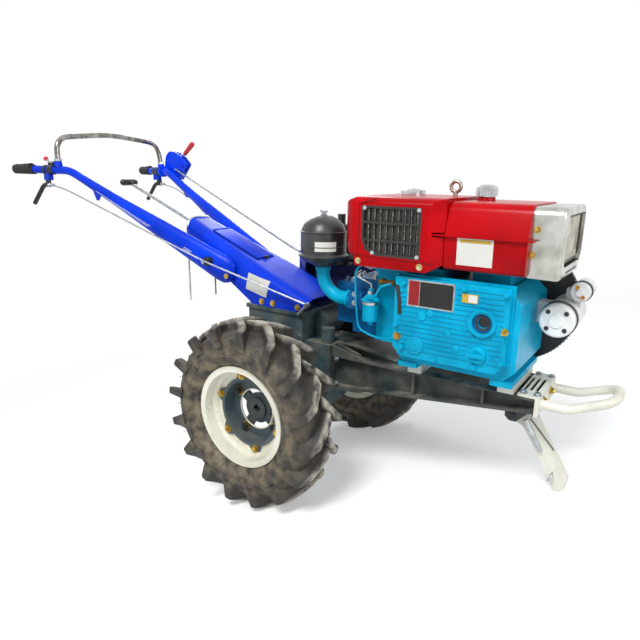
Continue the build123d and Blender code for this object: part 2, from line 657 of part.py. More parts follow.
def muffler():
    """Upright silencer drum behind the head, on a pipe from the head's top."""
    x, y, z0, z1 = MUFFLER_X, MUFFLER_Y, MUFFLER_BOTTOM_Z, MUFFLER_TOP_Z
    pipe = bent_tube([(EXHAUST_X, y, HEAD_TOP_Z), (EXHAUST_X, y, z0 + 34), (x, y, z0 + 34)], [22], EXHAUST_R)
    drum = upright(x, y, MUFFLER_R, z0, z1)
    drum = fillet(drum.edges(), 10)
    outlet = upright(x, y, EXHAUST_R - 3, z1, z1 + 34)
    return pipe + drum + outlet


def fuel_filter():
    """Canister filter on a bracket beside the barrel."""
    x, y, z0, z1 = FILTER_X, FILTER_Y, FILTER_BOTTOM_Z, FILTER_TOP_Z
    canister = upright(x, y, FILTER_R, z0 + 14, z1 - 20) + upright(x, y, 9, z0, z0 + 14)
    cap = Pos(x, y, z1 - 10) * Cone(FILTER_R + 5, 12, 20) + upright(x, y, 8, z1, z1 + 16)
    bracket = block(x - 1, x + 14, y, -BARREL_HALF_Y, z1 - 30, z1 - 22)
    return canister + cap + bracket


def fuel_lines():
    """Thin steel pipes between the tank, the filter and the injection pump."""
    feed = bent_tube([(FILTER_X, FILTER_Y, FILTER_TOP_Z + 16), (FILTER_X, FILTER_Y, FILTER_TOP_Z + 30),
                      (FILTER_X - 60, FILTER_Y, FILTER_TOP_Z + 52), (FILTER_X - 60, -BARREL_HALF_Y - 4, CASE_TOP_Z - 6)],
                     [6, 12], 3.0)
    return feed


def flywheel():
    """Flywheel with its starter ring, the belt pulley outside it and the crankshaft's end."""
    in_y = CASE_LEFT_Y + FLYWHEEL_GAP
    out_y = in_y + FLYWHEEL_THICK
    wheel = crank_bore(in_y, out_y, FLYWHEEL_R - 8) + crank_bore(in_y, in_y + 16, FLYWHEEL_R)
    wheel -= crank_bore(out_y - 18, out_y, FLYWHEEL_R - 34) - crank_bore(out_y - 18, out_y, CRANK_PULLEY_R + 14)
    wheel += pulley(CRANK_X, CRANK_Z, CRANK_PULLEY_R, out_y)
    wheel += crank_bore(CASE_LEFT_Y - 58, in_y, CRANK_SHAFT_R)
    return wheel


def pulley(x, z, radius, in_y):
    """Grooved pulley for the belts."""
    wheel = across(x, z, radius, in_y, in_y + PULLEY_WIDTH)
    for index in range(BELT_COUNT):
        mid_y = in_y + PULLEY_WIDTH / 2 + (index - (BELT_COUNT - 1) / 2) * BELT_PITCH
        half = BELT_WIDTH / 2 + BELT_GAP
        groove = across(x, z, radius + 1, mid_y - half, mid_y + half)
        wheel -= groove - across(x, z, radius - BELT_DEPTH, mid_y - half, mid_y + half)
    return wheel


def pulley_in_y():
    return CASE_LEFT_Y + FLYWHEEL_GAP + FLYWHEEL_THICK


def clutch_pulley():
    """Large belt pulley on the gearbox's input shaft."""
    in_y = pulley_in_y()
    wheel = pulley(CLUTCH_X, CLUTCH_Z, CLUTCH_PULLEY_R, in_y)
    shaft = across(CLUTCH_X, CLUTCH_Z, CLUTCH_SHAFT_R, GEARBOX_UPPER_HALF_Y - 60, in_y)
    return wheel + shaft


def belts():
    """Three V-belts as closed loops seated in the pulleys' grooves."""
    loops = []
    for index in range(BELT_COUNT):
        mid_y = pulley_in_y() + PULLEY_WIDTH / 2 + (index - (BELT_COUNT - 1) / 2) * BELT_PITCH
        outer = belt_face(0.0)
        inner = belt_face(BELT_DEPTH - BELT_GAP)
        plane = Plane.XZ.offset(-(mid_y + BELT_WIDTH / 2))
        loops.append(extrude(plane * outer, amount=BELT_WIDTH) - extrude(plane * inner, amount=BELT_WIDTH))
    return Compound([solid for loop in loops for solid in loop.solids()])


def belt_face(inset):
    """The area that a belt encloses, from pulley to pulley."""
    front = Pos(CRANK_X, CRANK_Z) * Circle(CRANK_PULLEY_R - inset)
    rear = Pos(CLUTCH_X, CLUTCH_Z) * Circle(CLUTCH_PULLEY_R - inset)
    return make_hull(front.edges() + rear.edges())


def guard_outline(inset=0.0):
    """Side outline of the belt guard: a tall box around the clutch pulley, open to the front."""
    front = GUARD_FRONT_X + (1 if inset else 0)
    return [
        (GUARD_REAR_X + inset, GUARD_TOP_Z - inset), (GUARD_REAR_X - 12 + inset, 360),
        (GUARD_REAR_X - 8 + inset, 250), (GUARD_REAR_X + 70 + inset, GUARD_BOTTOM_Z + inset),
        (front, GUARD_BOTTOM_Z + inset), (front, GUARD_TOP_Z - 26 - inset),
        (GUARD_FRONT_X - 90, GUARD_TOP_Z - inset)]


def belt_guard():
    """Sheet guard around the clutch pulley, tied to the gearbox's top flange."""
    sheet = side_profile(guard_outline(), GUARD_IN_Y, GUARD_OUT_Y)
    sheet -= side_profile(guard_outline(GUARD_SHEET), GUARD_IN_Y, GUARD_OUT_Y - GUARD_SHEET)
    tie_z = GEARBOX_TOP_Z - GEARBOX_FLANGE_THICK
    tie = block(GUARD_REAR_X - 12, GUARD_REAR_X - 9, GEARBOX_UPPER_HALF_Y, GUARD_IN_Y + 8, tie_z - 40, tie_z)
    tie += block(GUARD_REAR_X - 60, GUARD_REAR_X - 9, GEARBOX_UPPER_HALF_Y, GEARBOX_UPPER_HALF_Y + 3, tie_z - 40, tie_z)
    return sheet + tie


def starter_motor():
    """Electric starter beside the case's front, with its solenoid above."""
    body = across(STARTER_X, STARTER_Z, STARTER_R, STARTER_RIGHT_Y, CASE_LEFT_Y - 4)
    body = fillet(body.edges(), 5)
    solenoid = across(SOLENOID_X, SOLENOID_Z, SOLENOID_R, -6, 92)
    neck = block(STARTER_X, SOLENOID_X, 30, 60, STARTER_Z, SOLENOID_Z)
    lug_plate = block(CASE_FRONT_X, STARTER_X, 20, 70, STARTER_Z - 30, STARTER_Z + 30)
    return body + solenoid + neck + lug_plate


def radiator_hood():
    """Red sheet bonnet over the radiator, with a recess for the grille."""
    plan = [
        (250, HOOD_LEFT_Y), (250, HOOD_RIGHT_Y + 16), (304, HOOD_RIGHT_Y), (512, HOOD_RIGHT_Y),
        (HOOD_FRONT_X, HOOD_RIGHT_Y + 22), (HOOD_FRONT_X, HOOD_LEFT_Y),
    ]
    side = [
        (296, HOOD_BOTTOM_Z), (278, 560), (258, 640), (250, 664), (256, 680), (290, HOOD_TOP_Z),
        (HOOD_FRONT_X, HOOD_TOP_Z), (HOOD_FRONT_X, HOOD_BOTTOM_Z),
    ]
    hood = plan_profile(plan, HOOD_BOTTOM_Z, HOOD_TOP_Z) & side_profile(side, HOOD_RIGHT_Y, HOOD_LEFT_Y)
    top_edges = hood.edges().filter_by(Axis.X).group_by(Axis.Z)[-1]
    hood = fillet(top_edges, HOOD_EDGE_R)
    hood -= side_profile(grille_outline(), HOOD_RIGHT_Y, HOOD_RIGHT_Y + GRILLE_DEPTH)
    return hood


def grille_outline(inset=0.0):
    """Side outline of the grille opening, with its lower rear corner cut off."""
    x0, x1 = GRILLE_REAR_X + inset, GRILLE_FRONT_X - inset
    z0, z1 = GRILLE_BOTTOM_Z + inset, GRILLE_TOP_Z - inset
    c = GRILLE_CORNER_R
    return [(x0, z1), (x0, z0 + c), (x0 + c * 0.3, z0 + c * 0.3), (x0 + c, z0), (x1, z0), (x1, z1)]


def grille():
    """Black frame with upright slats in front of the radiator core."""
    y0, y1 = HOOD_RIGHT_Y, HOOD_RIGHT_Y + GRILLE_DEPTH
    frame = side_profile(grille_outline(), y0, y1) - side_profile(grille_outline(GRILLE_BAR), y0, y1)
    core = side_profile(grille_outline(GRILLE_BAR), y1 - 4, y1)
    slats = []
    pitch = (GRILLE_FRONT_X - GRILLE_REAR_X) / 10
    for index in range(1, 10):
        x = GRILLE_REAR_X + index * pitch
        slats.append(block(x - 2, x + 2, y0 + 4, y1 - 4, GRILLE_BOTTOM_Z, GRILLE_TOP_Z))
    for share in (0.34, 0.68):
        z = GRILLE_TOP_Z - share * (GRILLE_TOP_Z - GRILLE_BOTTOM_Z)
        slats.append(block(GRILLE_REAR_X, GRILLE_FRONT_X, y0, y1 - 4, z - 2.5, z + 2.5))
    field = [slat & side_profile(grille_outline(), y0, y1) for slat in slats]
    return (frame + core).fuse(*field)


def fuel_tank():
    """Red tank of two pressed halves joined by a flange, with a filler neck."""
    x0, x1 = HOOD_FRONT_X + 1, LAMP_REAR_X
    section = [
        (TANK_RIGHT_Y + 4, TANK_BOTTOM_Z), (TANK_RIGHT_Y, TANK_RIDGE_Z), (TANK_RIGHT_Y + 26, TANK_TOP_Z),
        (TANK_LEFT_Y - 26, TANK_TOP_Z), (TANK_LEFT_Y, TANK_RIDGE_Z), (TANK_LEFT_Y - 4, TANK_BOTTOM_Z),
    ]
    tank = extrude(Plane.YZ.offset(x0) * Polygon(*section, align=None), amount=x1 - x0, dir=(1, 0, 0))
    upper_edges = tank.edges().filter_by(Axis.X).group_by(Axis.Z)[-1]
    tank = fillet(upper_edges, 22)
    half = TANK_RIDGE_THICK / 2
    ridge = block(x0, x1, TANK_RIGHT_Y - TANK_RIDGE_REACH, TANK_LEFT_Y + TANK_RIDGE_REACH,
                  TANK_RIDGE_Z - half, TANK_RIDGE_Z + half)
    neck = upright(TANK_CAP_X, 0, NECK_R, TANK_TOP_Z - 2, TANK_TOP_Z + 20)
    return tank + ridge + neck


def filler_caps():
    """Screw caps of the tank and the radiator."""
    tank_cap = upright(TANK_CAP_X, 0, CAP_R, TANK_TOP_Z + 20, TANK_TOP_Z + 38)
    radiator_cap = upright(RADIATOR_CAP_X, 0, CAP_R + 2, HOOD_TOP_Z, HOOD_TOP_Z + 12)
    return Compound([tank_cap, radiator_cap])


def lifting_eye():
    """Forged eye bolt on top of the bonnet."""
    ring = Pos(LIFT_EYE_X, 0, HOOD_TOP_Z + 34) * Rot(90, 0, 0) * Torus(EYE_R, EYE_WIRE_R)
    stem = upright(LIFT_EYE_X, 0, 7, HOOD_TOP_Z, HOOD_TOP_Z + 34 - EYE_R)
    return ring + stem


def lamp_housing():
    """Chromed front shell with a recess for the lamp."""
    x0, x1 = LAMP_REAR_X, LAMP_FRONT_X
    shell = block(x0, x1, LAMP_RIGHT_Y, LAMP_LEFT_Y, LAMP_BOTTOM_Z, LAMP_TOP_Z)
    shell = fillet(shell.edges().filter_by(Axis.X).group_by(Axis.Z)[-1], 26)
    shell -= block(x1 - 34, x1, LAMP_RIGHT_Y + 56, LAMP_LEFT_Y - 46, LAMP_BOTTOM_Z + 44, LAMP_TOP_Z - 44)
    return shell


def lamp_lens():
    """Lamp unit in the recess."""
    x1 = LAMP_FRONT_X - 34
    return block(x1, x1 + 16, LAMP_RIGHT_Y + 62, LAMP_LEFT_Y - 52, LAMP_BOTTOM_Z + 50, LAMP_TOP_Z - 50)


# Gearbox and hitch

def gearbox_case():
    """Cast gear case between the wheels, round below the axle, with the upper box that carries the handles."""
    half = GEARBOX_HALF_Y
    front_low = 80.0
    on_round = -(GEARBOX_LOW_R ** 2 - front_low ** 2) ** 0.5
    case = across(0, 0, GEARBOX_LOW_R, -half, half)
    case += side_profile([
        (-GEARBOX_LOW_R, 0), (GEARBOX_REAR_X, 70), (GEARBOX_REAR_X, GEARBOX_SHOULDER_Z),
        (END_PLATE_X, GEARBOX_SHOULDER_Z), (END_PLATE_X, END_PLATE_BOTTOM_Z), (front_low, on_round)], -half, half)
    upper_half = GEARBOX_UPPER_HALF_Y
    flange_z = GEARBOX_TOP_Z - GEARBOX_FLANGE_THICK
    case += side_profile([
        (GEARBOX_UPPER_REAR_X, flange_z), (GEARBOX_UPPER_REAR_X, GEARBOX_SHOULDER_Z + 30),
        (GEARBOX_UPPER_REAR_X + 34, GEARBOX_SHOULDER_Z - 20), (GEARBOX_UPPER_FRONT_X, GEARBOX_SHOULDER_Z - 20),
        (GEARBOX_UPPER_FRONT_X, flange_z)], -upper_half, upper_half)
    case += block(GEARBOX_UPPER_REAR_X - 6, GEARBOX_UPPER_FRONT_X + 6, -upper_half - 8, upper_half + 8,
                  flange_z, GEARBOX_TOP_Z)
    case += across(CLUTCH_X, CLUTCH_Z, CLUTCH_SHAFT_R + 36, -20, upper_half)
    case -= across(CLUTCH_X, CLUTCH_Z, CLUTCH_SHAFT_R + RUNNING_FIT, upper_half - 62, upper_half)
    case += upright(END_PLATE_X - 40, -62, 24, GEARBOX_SHOULDER_Z - 1, GEARBOX_SHOULDER_Z + 52)
    return case


def axle_housing():
    """Left final-drive housing: a flanged cone with the axle's bearing bore."""
    y0, y1 = GEARBOX_HALF_Y, AXLE_HOUSING_END_Y
    housing = turned([
        (y0, 0), (y0, AXLE_HOUSING_R), (y0 + 16, AXLE_HOUSING_R), (y0 + 16, AXLE_HOUSING_R - 12),
        (y1 - 60, AXLE_HOUSING_NECK_R), (y1, AXLE_HOUSING_NECK_R), (y1, 0)])
    return housing - across(0, 0, AXLE_SHAFT_R + RUNNING_FIT, AXLE_SHAFT_IN_Y - 2, y1)


def rear_hitch():
    """Drawbar jaws behind the gearbox with an upright pin hole."""
    x1 = -(GEARBOX_LOW_R ** 2 - 40.0 ** 2) ** 0.5
    x0 = GEARBOX_REAR_X - HITCH_REACH
    jaws = []
    web = block(GEARBOX_REAR_X - 14, GEARBOX_REAR_X, -HITCH_HALF_Y, HITCH_HALF_Y, 76, 150)
    for z in (84, 126):
        ear = block(x0, GEARBOX_REAR_X - 14, -HITCH_HALF_Y, HITCH_HALF_Y, z, z + HITCH_EAR_THICK)
        jaws.append(ear - upright(x0 + 30, 0, HITCH_PIN_R, z, z + HITCH_EAR_THICK))
    return web.fuse(*jaws)


# Console, handles and controls

def console_side(wall=0.0):
    """Side outline of the console: a long sloping box, deep over the gearbox."""
    return [
        (CONSOLE_REAR_X, 566 - wall), (-300, 500 - wall), (60, 372 - wall), (CONSOLE_NOSE_X - wall, 350 - wall),
        (CONSOLE_NOSE_X - wall, 332), (70, 304), (40, GEARBOX_TOP_Z), (-176, GEARBOX_TOP_Z), (-300, 392),
        (CONSOLE_REAR_X, 505),
    ]


def console_plan(wall=0.0):
    """Plan outline of the console: narrow at the rear, full width over the gearbox."""
    rear, half = CONSOLE_REAR_HALF_Y - wall, CONSOLE_HALF_Y - wall
    return [
        (CONSOLE_REAR_X, -rear), (-330, -half), (70, -half), (CONSOLE_NOSE_X, -half + 30),
        (CONSOLE_NOSE_X, half - 30), (70, half), (-330, half), (CONSOLE_REAR_X, rear),
    ]


def console_top(x):
    """Height of the console's sloping top over the tool well."""
    return 500 + (x + 300) * (372 - 500) / 360 if x > -300 else 500 + (x + 300) * (566 - 500) / (CONSOLE_REAR_X + 300)


def console():
    """Blue sheet console on the gearbox, hollow below, with a tool well under its lid."""
    outer = side_profile(console_side(), -CONSOLE_HALF_Y, CONSOLE_HALF_Y)
    outer &= plan_profile(console_plan(), 0, 700)
    inner = side_profile(console_side(CONSOLE_WALL), -CONSOLE_HALF_Y, CONSOLE_HALF_Y)
    inner &= plan_profile(console_plan(CONSOLE_WALL), 0, 700)
    inner &= block(CONSOLE_REAR_X + CONSOLE_WALL, CONSOLE_NOSE_X, -CONSOLE_HALF_Y, CONSOLE_HALF_Y, 0, 700)
    shell = outer - inner
    margin = TOOL_WELL_MARGIN
    well_x0, well_x1, well_y = LID_REAR_X + margin, LID_FRONT_X - margin, LID_HALF_Y - margin
    tray = side_profile([
        (well_x0 - 3, console_top(well_x0) + 20), (well_x0 - 3, console_top(well_x0) - TOOL_WELL_DEPTH - 3),
        (well_x1 + 3, console_top(well_x1) - TOOL_WELL_DEPTH - 3), (well_x1 + 3, console_top(well_x1) + 20)],
        -well_y - 3, well_y + 3)
    well = side_profile([
        (well_x0, console_top(well_x0) + 40), (well_x0, console_top(well_x0) - TOOL_WELL_DEPTH),
        (well_x1, console_top(well_x1) - TOOL_WELL_DEPTH), (well_x1, console_top(well_x1) + 40)], -well_y, well_y)
    return shell + (tray & outer) - well


def lid_hinge():
    """Place of the lid's hinge barrel, on the console's top at the lid's rear edge."""
    x = LID_REAR_X - 2
    return x, console_top(x) + 0.3 + LID_HINGE_R + 1


def toolbox_lid():
    """Lid over the tool well, hinged along its rear edge."""
    x0, x1 = LID_REAR_X, LID_FRONT_X
    gap = 0.3
    outline = [
        (x0, console_top(x0) + gap), (-300, console_top(-300) + gap), (x1, console_top(x1) + gap),
        (x1, console_top(x1) + gap + LID_THICK), (-300, console_top(-300) + gap + LID_THICK),
        (x0, console_top(x0) + gap + LID_THICK)]
    lid = side_profile(outline, -LID_HALF_Y, LID_HALF_Y)
    return lid + across(*lid_hinge(), LID_HINGE_R, -LID_HALF_Y, LID_HALF_Y)


def handle():
    """Left handle: a pressed tube, deep and rounded at its root, round at the grip."""
    root = Vector(HANDLE_ROOT_X, HANDLE_ROOT_Y, HANDLE_ROOT_Z)
    bend = Vector(HANDLE_BEND_X, HANDLE_BEND_Y, HANDLE_BEND_Z)
    end = Vector(HANDLE_END_X, HANDLE_END_Y, HANDLE_END_Z)
    run = (bend - root).normalized()
    taper_end = bend - run * HANDLE_BEND_R * 0.5
    length = (taper_end - root).length
    sections = []
    for share, grow in HANDLE_TAPER:
        plane = Plane(origin=root + run * (length * share), x_dir=(0, 0, 1), z_dir=run)
        sections.append(plane * Ellipse(HANDLE_ROOT_HEIGHT / 2 * grow, HANDLE_ROOT_WIDTH / 2 * grow))
    plane = Plane(origin=taper_end, x_dir=(0, 0, 1), z_dir=run)
    sections.append(plane * Ellipse(HANDLE_TUBE_R, HANDLE_TUBE_R))
    trunk = loft(sections, ruled=True)
    path = FilletPolyline(taper_end, bend, end, radius=[HANDLE_BEND_R])
    tube = sweep(Plane(origin=taper_end, z_dir=run) * Circle(HANDLE_TUBE_R), path)
    inside = block(-600, 200, 0, CONSOLE_HALF_Y, 0, 800)
    return (trunk - inside) + tube


def grips():
    """Black rubber grips on both handle ends."""
    grip = bar(grip_point(GRIP_LENGTH), grip_point(-3), GRIP_R)
    grip -= bar(grip_point(GRIP_LENGTH), grip_point(0), HANDLE_TUBE_R + SEAT_GAP)
    return Compound([grip, mirrored(grip)])


def grip_point(back):
    """A point on the left handle's last run, at a distance from its end."""
    end = Vector(HANDLE_END_X, HANDLE_END_Y, HANDLE_END_Z)
    bend = Vector(HANDLE_BEND_X, HANDLE_BEND_Y, HANDLE_BEND_Z)
    return end + (bend - end).normalized() * back


def grip_tube():
    """The straight last run of the left handle, which the fittings seat on."""
    return bar(grip_point(GRIP_RUN), grip_point(0), HANDLE_TUBE_R + SEAT_GAP)


def push_arch():
    """Chromed tube arch between the handles."""
    foot = grip_point(HANDLE_END_X * -1 + ARCH_X)
    top = ARCH_TOP_Z - ARCH_TUBE_R
    y, corner = foot.Y, foot.Y - ARCH_LEAN
    points = [(foot.X, y, foot.Z), (foot.X, corner, top), (foot.X, -corner, top), (foot.X, -y, foot.Z)]
    arch = bent_tube(points, [ARCH_CORNER_R, ARCH_CORNER_R], ARCH_TUBE_R)
    return arch - grip_tube() - mirrored(grip_tube())


def steering_levers():
    """Black squeeze levers under both grips, on brackets below the handles."""
    top = grip_point(STEERING_BACK)
    bracket = block(top.X - 14, top.X + 14, top.Y - 8, top.Y + 8, top.Z - 62, top.Z) - grip_tube()
    lever = bent_tube([
        (top.X, top.Y, top.Z - 58), (top.X - 48, top.Y, top.Z - 84), (top.X - 62, top.Y, top.Z - 158)],
        [34], LEVER_GRIP_R)
    left = bracket + lever
    return Compound([left, mirrored(left)])


def clutch_quadrant():
    """Blue sheet quadrant that holds the clutch lever, on the left handle."""
    top = grip_point(QUADRANT_BACK)
    outline = [
        (top.X - 50, top.Z + 34), (top.X - 20, top.Z + 88), (top.X + 50, top.Z + 112), (top.X + 140, top.Z + 70),
        (top.X + 110, top.Z + 34),
    ]
    foot = block(top.X - 62, top.X - 28, top.Y, top.Y + 52, top.Z, top.Z + 34)
    return side_profile(outline, top.Y + 18, top.Y + 52) + (foot - grip_tube())


def clutch_lever():
    """Plated clutch lever with a red knob."""
    top = grip_point(QUADRANT_BACK)
    start = (top.X + 12, top.Y + 60, top.Z + 40)
    end = (top.X + 150, top.Y + 60, top.Z + 128)
    knob_end = (top.X + 176, top.Y + 60, top.Z + 145)
    pin = across(start[0], start[2], 7, top.Y + 52, top.Y + 64)
    return bar(start, end, 5) + bar(end, knob_end, 10) + pin


def throttle_lever():
    """Small throttle lever with a round cap on the right handle."""
    top = mirror_point(grip_point(THROTTLE_BACK))
    cap = upright(top.X, top.Y, 13, top.Z, top.Z + HANDLE_TUBE_R + 16) - mirrored(grip_tube())
    arm = bar((top.X, top.Y, top.Z + 26), (top.X - 44, top.Y, top.Z + 44), 4)
    return cap + arm


def mirror_point(point):
    return Vector(point.X, -point.Y, point.Z)


def shift_lever():
    """Gear lever from the console's rear end with a T knob."""
    start = (CONSOLE_REAR_X + 20, 0, 532.5)
    end = (-980, -20, 706)
    rod = bar(start, end, 7) - block(CONSOLE_REAR_X, CONSOLE_REAR_X + 60, -40, 40, 480, 600)
    knob = bar((-985, -62, 708), (-985, 22, 708), 12)
    return rod + knob


def control_rods():
    """Steering rods from the brackets under the grips down to arms on the console's sides."""
    top = grip_point(STEERING_BACK)
    rods = []
    for side, end_x, end_z in ((-1, ROD_RIGHT_X, ROD_RIGHT_Z), (1, ROD_LEFT_X, ROD_LEFT_Z)):
        end_y = side * (CONSOLE_HALF_Y + ROD_STANDOFF)
        knee = (ROD_KNEE_X, side * (CONSOLE_HALF_Y + ROD_KNEE_OUT), ROD_KNEE_Z)
        start = (top.X + 14 + ROD_R, side * top.Y, top.Z - 52)
        rod = bar(start, knee, ROD_R) + bar(knee, (end_x, end_y, end_z), ROD_R)
        rod += Pos(*knee) * Sphere(ROD_R)
        pin = across(end_x, end_z, 7, side * CONSOLE_HALF_Y, side * (CONSOLE_HALF_Y + ROD_STANDOFF + 8))
        rods.append(rod + pin)
    return Compound(rods)


def save(node, shape):
    """Writes one piece as its own STEP file."""
    shape.label = node
    export_step(shape, f"parts/{node}.step")


LEVEL_PIECES = {
    "frame_end_plate": frame_end_plate, "front_plate": front_plate, "bumper_loop": bumper_loop,
    "engine_mount_bars": engine_mount_bars, "shield_sheet": shield_sheet, "stand_leg": stand_leg,
    "stand_bracket": stand_bracket, "engine_block": engine_block, "gear_cover": gear_cover,
    "cylinder_head": cylinder_head, "intake_elbow": intake_elbow, "air_cleaner": air_cleaner,
    "muffler": muffler, "fuel_filter": fuel_filter, "fuel_lines": fuel_lines, "flywheel": flywheel,
    "clutch_pulley": clutch_pulley, "belts": belts, "belt_guard": belt_guard, "starter_motor": starter_motor,
    "radiator_hood": radiator_hood, "grille": grille, "fuel_tank": fuel_tank, "filler_caps": filler_caps,
    "lifting_eye": lifting_eye, "lamp_housing": lamp_housing, "lamp_lens": lamp_lens,
    "gearbox_case": gearbox_case, "rear_hitch": rear_hitch, "console": console, "toolbox_lid": toolbox_lid,
    "grips": grips, "push_arch": push_arch, "steering_levers": steering_levers,
    "clutch_quadrant": clutch_quadrant, "clutch_lever": clutch_lever, "throttle_lever": throttle_lever,
    "shift_lever": shift_lever, "control_rods": control_rods,
}
PAIRED_PIECES = {"frame_rail": frame_rail, "axle_housing": axle_housing, "handle": handle}
WHEEL_PIECES = {"tyre": tyre, "rim": rim, "wheel_disc": wheel_disc, "hub": hub}


def build_all():
    """Builds every piece, parks it and writes it."""
    os.makedirs("parts", exist_ok=True)
    for node, maker in LEVEL_PIECES.items():
        save(node, parked(maker()))
    for name, maker in PAIRED_PIECES.items():
        left = maker()
        save(f"{name}_left", parked(left))
        save(f"{name}_right", parked(mirrored(left)))
    for name, maker in WHEEL_PIECES.items():
        left = Pos(0, TRACK / 2, 0) * maker()
        save(f"{name}_left", on_axle(left))
        save(f"{name}_right", on_axle(mirrored(left)))


build_all()
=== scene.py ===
import math

import bmesh
import bpy
from mathutils import Matrix, Vector
from mathutils.bvhtree import BVHTree


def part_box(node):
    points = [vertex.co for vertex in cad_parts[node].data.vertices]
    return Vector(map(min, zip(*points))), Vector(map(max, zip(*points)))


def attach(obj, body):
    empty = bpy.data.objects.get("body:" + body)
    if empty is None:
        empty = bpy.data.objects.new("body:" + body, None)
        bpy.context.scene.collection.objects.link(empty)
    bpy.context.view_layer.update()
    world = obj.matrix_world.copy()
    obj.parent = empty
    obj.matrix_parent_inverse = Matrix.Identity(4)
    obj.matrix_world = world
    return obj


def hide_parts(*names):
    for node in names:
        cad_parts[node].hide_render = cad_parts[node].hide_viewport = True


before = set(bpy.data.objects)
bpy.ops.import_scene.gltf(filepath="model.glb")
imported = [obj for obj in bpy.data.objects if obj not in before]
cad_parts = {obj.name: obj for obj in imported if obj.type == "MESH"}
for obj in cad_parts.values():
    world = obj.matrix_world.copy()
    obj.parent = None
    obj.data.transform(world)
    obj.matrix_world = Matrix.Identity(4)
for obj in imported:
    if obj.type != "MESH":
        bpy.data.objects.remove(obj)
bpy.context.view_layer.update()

# Parked machine
# The machine stands nose-down on its front stand. Every form below is drawn as on a level machine, in
# millimetres from the middle of the wheel axle: +X forward, +Y to the machine's left, +Z up. These turns set
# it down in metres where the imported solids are.
axle_low, axle_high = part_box("rim_right")
AXLE = Vector(((axle_low.x + axle_high.x) / 2, 0, (axle_low.z + axle_high.z) / 2))
PARK_PITCH = math.radians(11.888465)
ON_AXLE = Matrix.Translation(AXLE) @ Matrix.Scale(0.001, 4)
PARKED = Matrix.Translation(AXLE) @ Matrix.Rotation(PARK_PITCH, 4, "Y") @ Matrix.Scale(0.001, 4)

# Tyres
# Field tyres of black natural rubber, cured in a steel mould, with two staggered rows of tall slanted
# lugs. Air presses them on the rim's seats. The mould leaves raised rings on the sidewall, a slot in each
# lug's end and short hairs of rubber at its vents.


def colour(text):
    """Linear RGBA from an sRGB hex value."""
    parts = [int(text[i:i + 2], 16) / 255 for i in (1, 3, 5)]
    return [c / 12.92 if c <= 0.04045 else ((c + 0.055) / 1.055) ** 2.4 for c in parts] + [1.0]


def add_node(owner, kind, inputs=None, **settings):
    """Adds a node to a material or tree, with its settings, values and links."""
    tree = owner.node_tree if hasattr(owner, "node_tree") else owner
    node = tree.nodes.new(kind)
    for name, value in settings.items():
        setattr(node, name, value)
    for name, value in (inputs or {}).items():
        if isinstance(value, bpy.types.NodeSocket):
            tree.links.new(value, node.inputs[name])
        else:
            node.inputs[name].default_value = value
    return node


def new_material(name, **values):
    """A material with a Principled shader whose plain values are set on its own sockets."""
    material = bpy.data.materials.new(name)
    material.use_nodes = True
    shader = material.node_tree.nodes["Principled BSDF"]
    for socket, value in values.items():
        shader.inputs[socket.replace("_", " ")].default_value = value
    return material, shader


def wire(material, source, shader, socket):
    """Links a source to a socket of the material's shader."""
    material.node_tree.links.new(source, shader.inputs[socket])


def noise_share(material, size_mm, low, high, detail=4.0):
    """A share from 0 to 1 that drifts over patches of a real size."""
    place = add_node(material, "ShaderNodeTexCoord").outputs["Object"]
    noise = add_node(material, "ShaderNodeTexNoise",
                     {"Vector": place, "Scale": 1000 / size_mm, "Detail": detail})
    return add_node(material, "ShaderNodeMapRange", {
        "Value": noise.outputs["Fac"], "From Min": low, "From Max": high}).outputs["Result"]


def overlaid(material, share, size_mm, low, high, base, top, detail=4.0, amount=None):
    """A second colour over a base where a share is high, broken up in patches of a real size."""
    patches = noise_share(material, size_mm, low, high, detail)
    shown = add_node(material, "ShaderNodeMath", {0: share, 1: patches}, operation="MULTIPLY").outputs[0]
    if amount is not None:
        shown = add_node(material, "ShaderNodeMath", {0: shown, 1: amount}, operation="MULTIPLY").outputs[0]
    return add_node(material, "ShaderNodeMix", {"Factor": shown, 6: base, 7: top},
                    data_type="RGBA").outputs[2]


def mottled(material, light, dark, size_mm, low=0.35, high=0.65):
    """Colour that drifts between two tones over patches of a real size."""
    share = noise_share(material, size_mm, low, high)
    return add_node(material, "ShaderNodeMix", {"Factor": share, 6: colour(light), 7: colour(dark)},
                    data_type="RGBA").outputs[2]


def grained(material, shader, size_mm, height_mm, detail=3.0):
    """Fine relief. Real grain is under a millimetre, too fine to show, so each use draws it coarser."""
    place = add_node(material, "ShaderNodeTexCoord").outputs["Object"]
    noise = add_node(material, "ShaderNodeTexNoise",
                     {"Vector": place, "Scale": 1000 / size_mm, "Detail": detail})
    bump = add_node(material, "ShaderNodeBump", {
        "Height": noise.outputs["Fac"], "Distance": height_mm / 1000, "Strength": 1.0})
    wire(material, bump.outputs["Normal"], shader, "Normal")


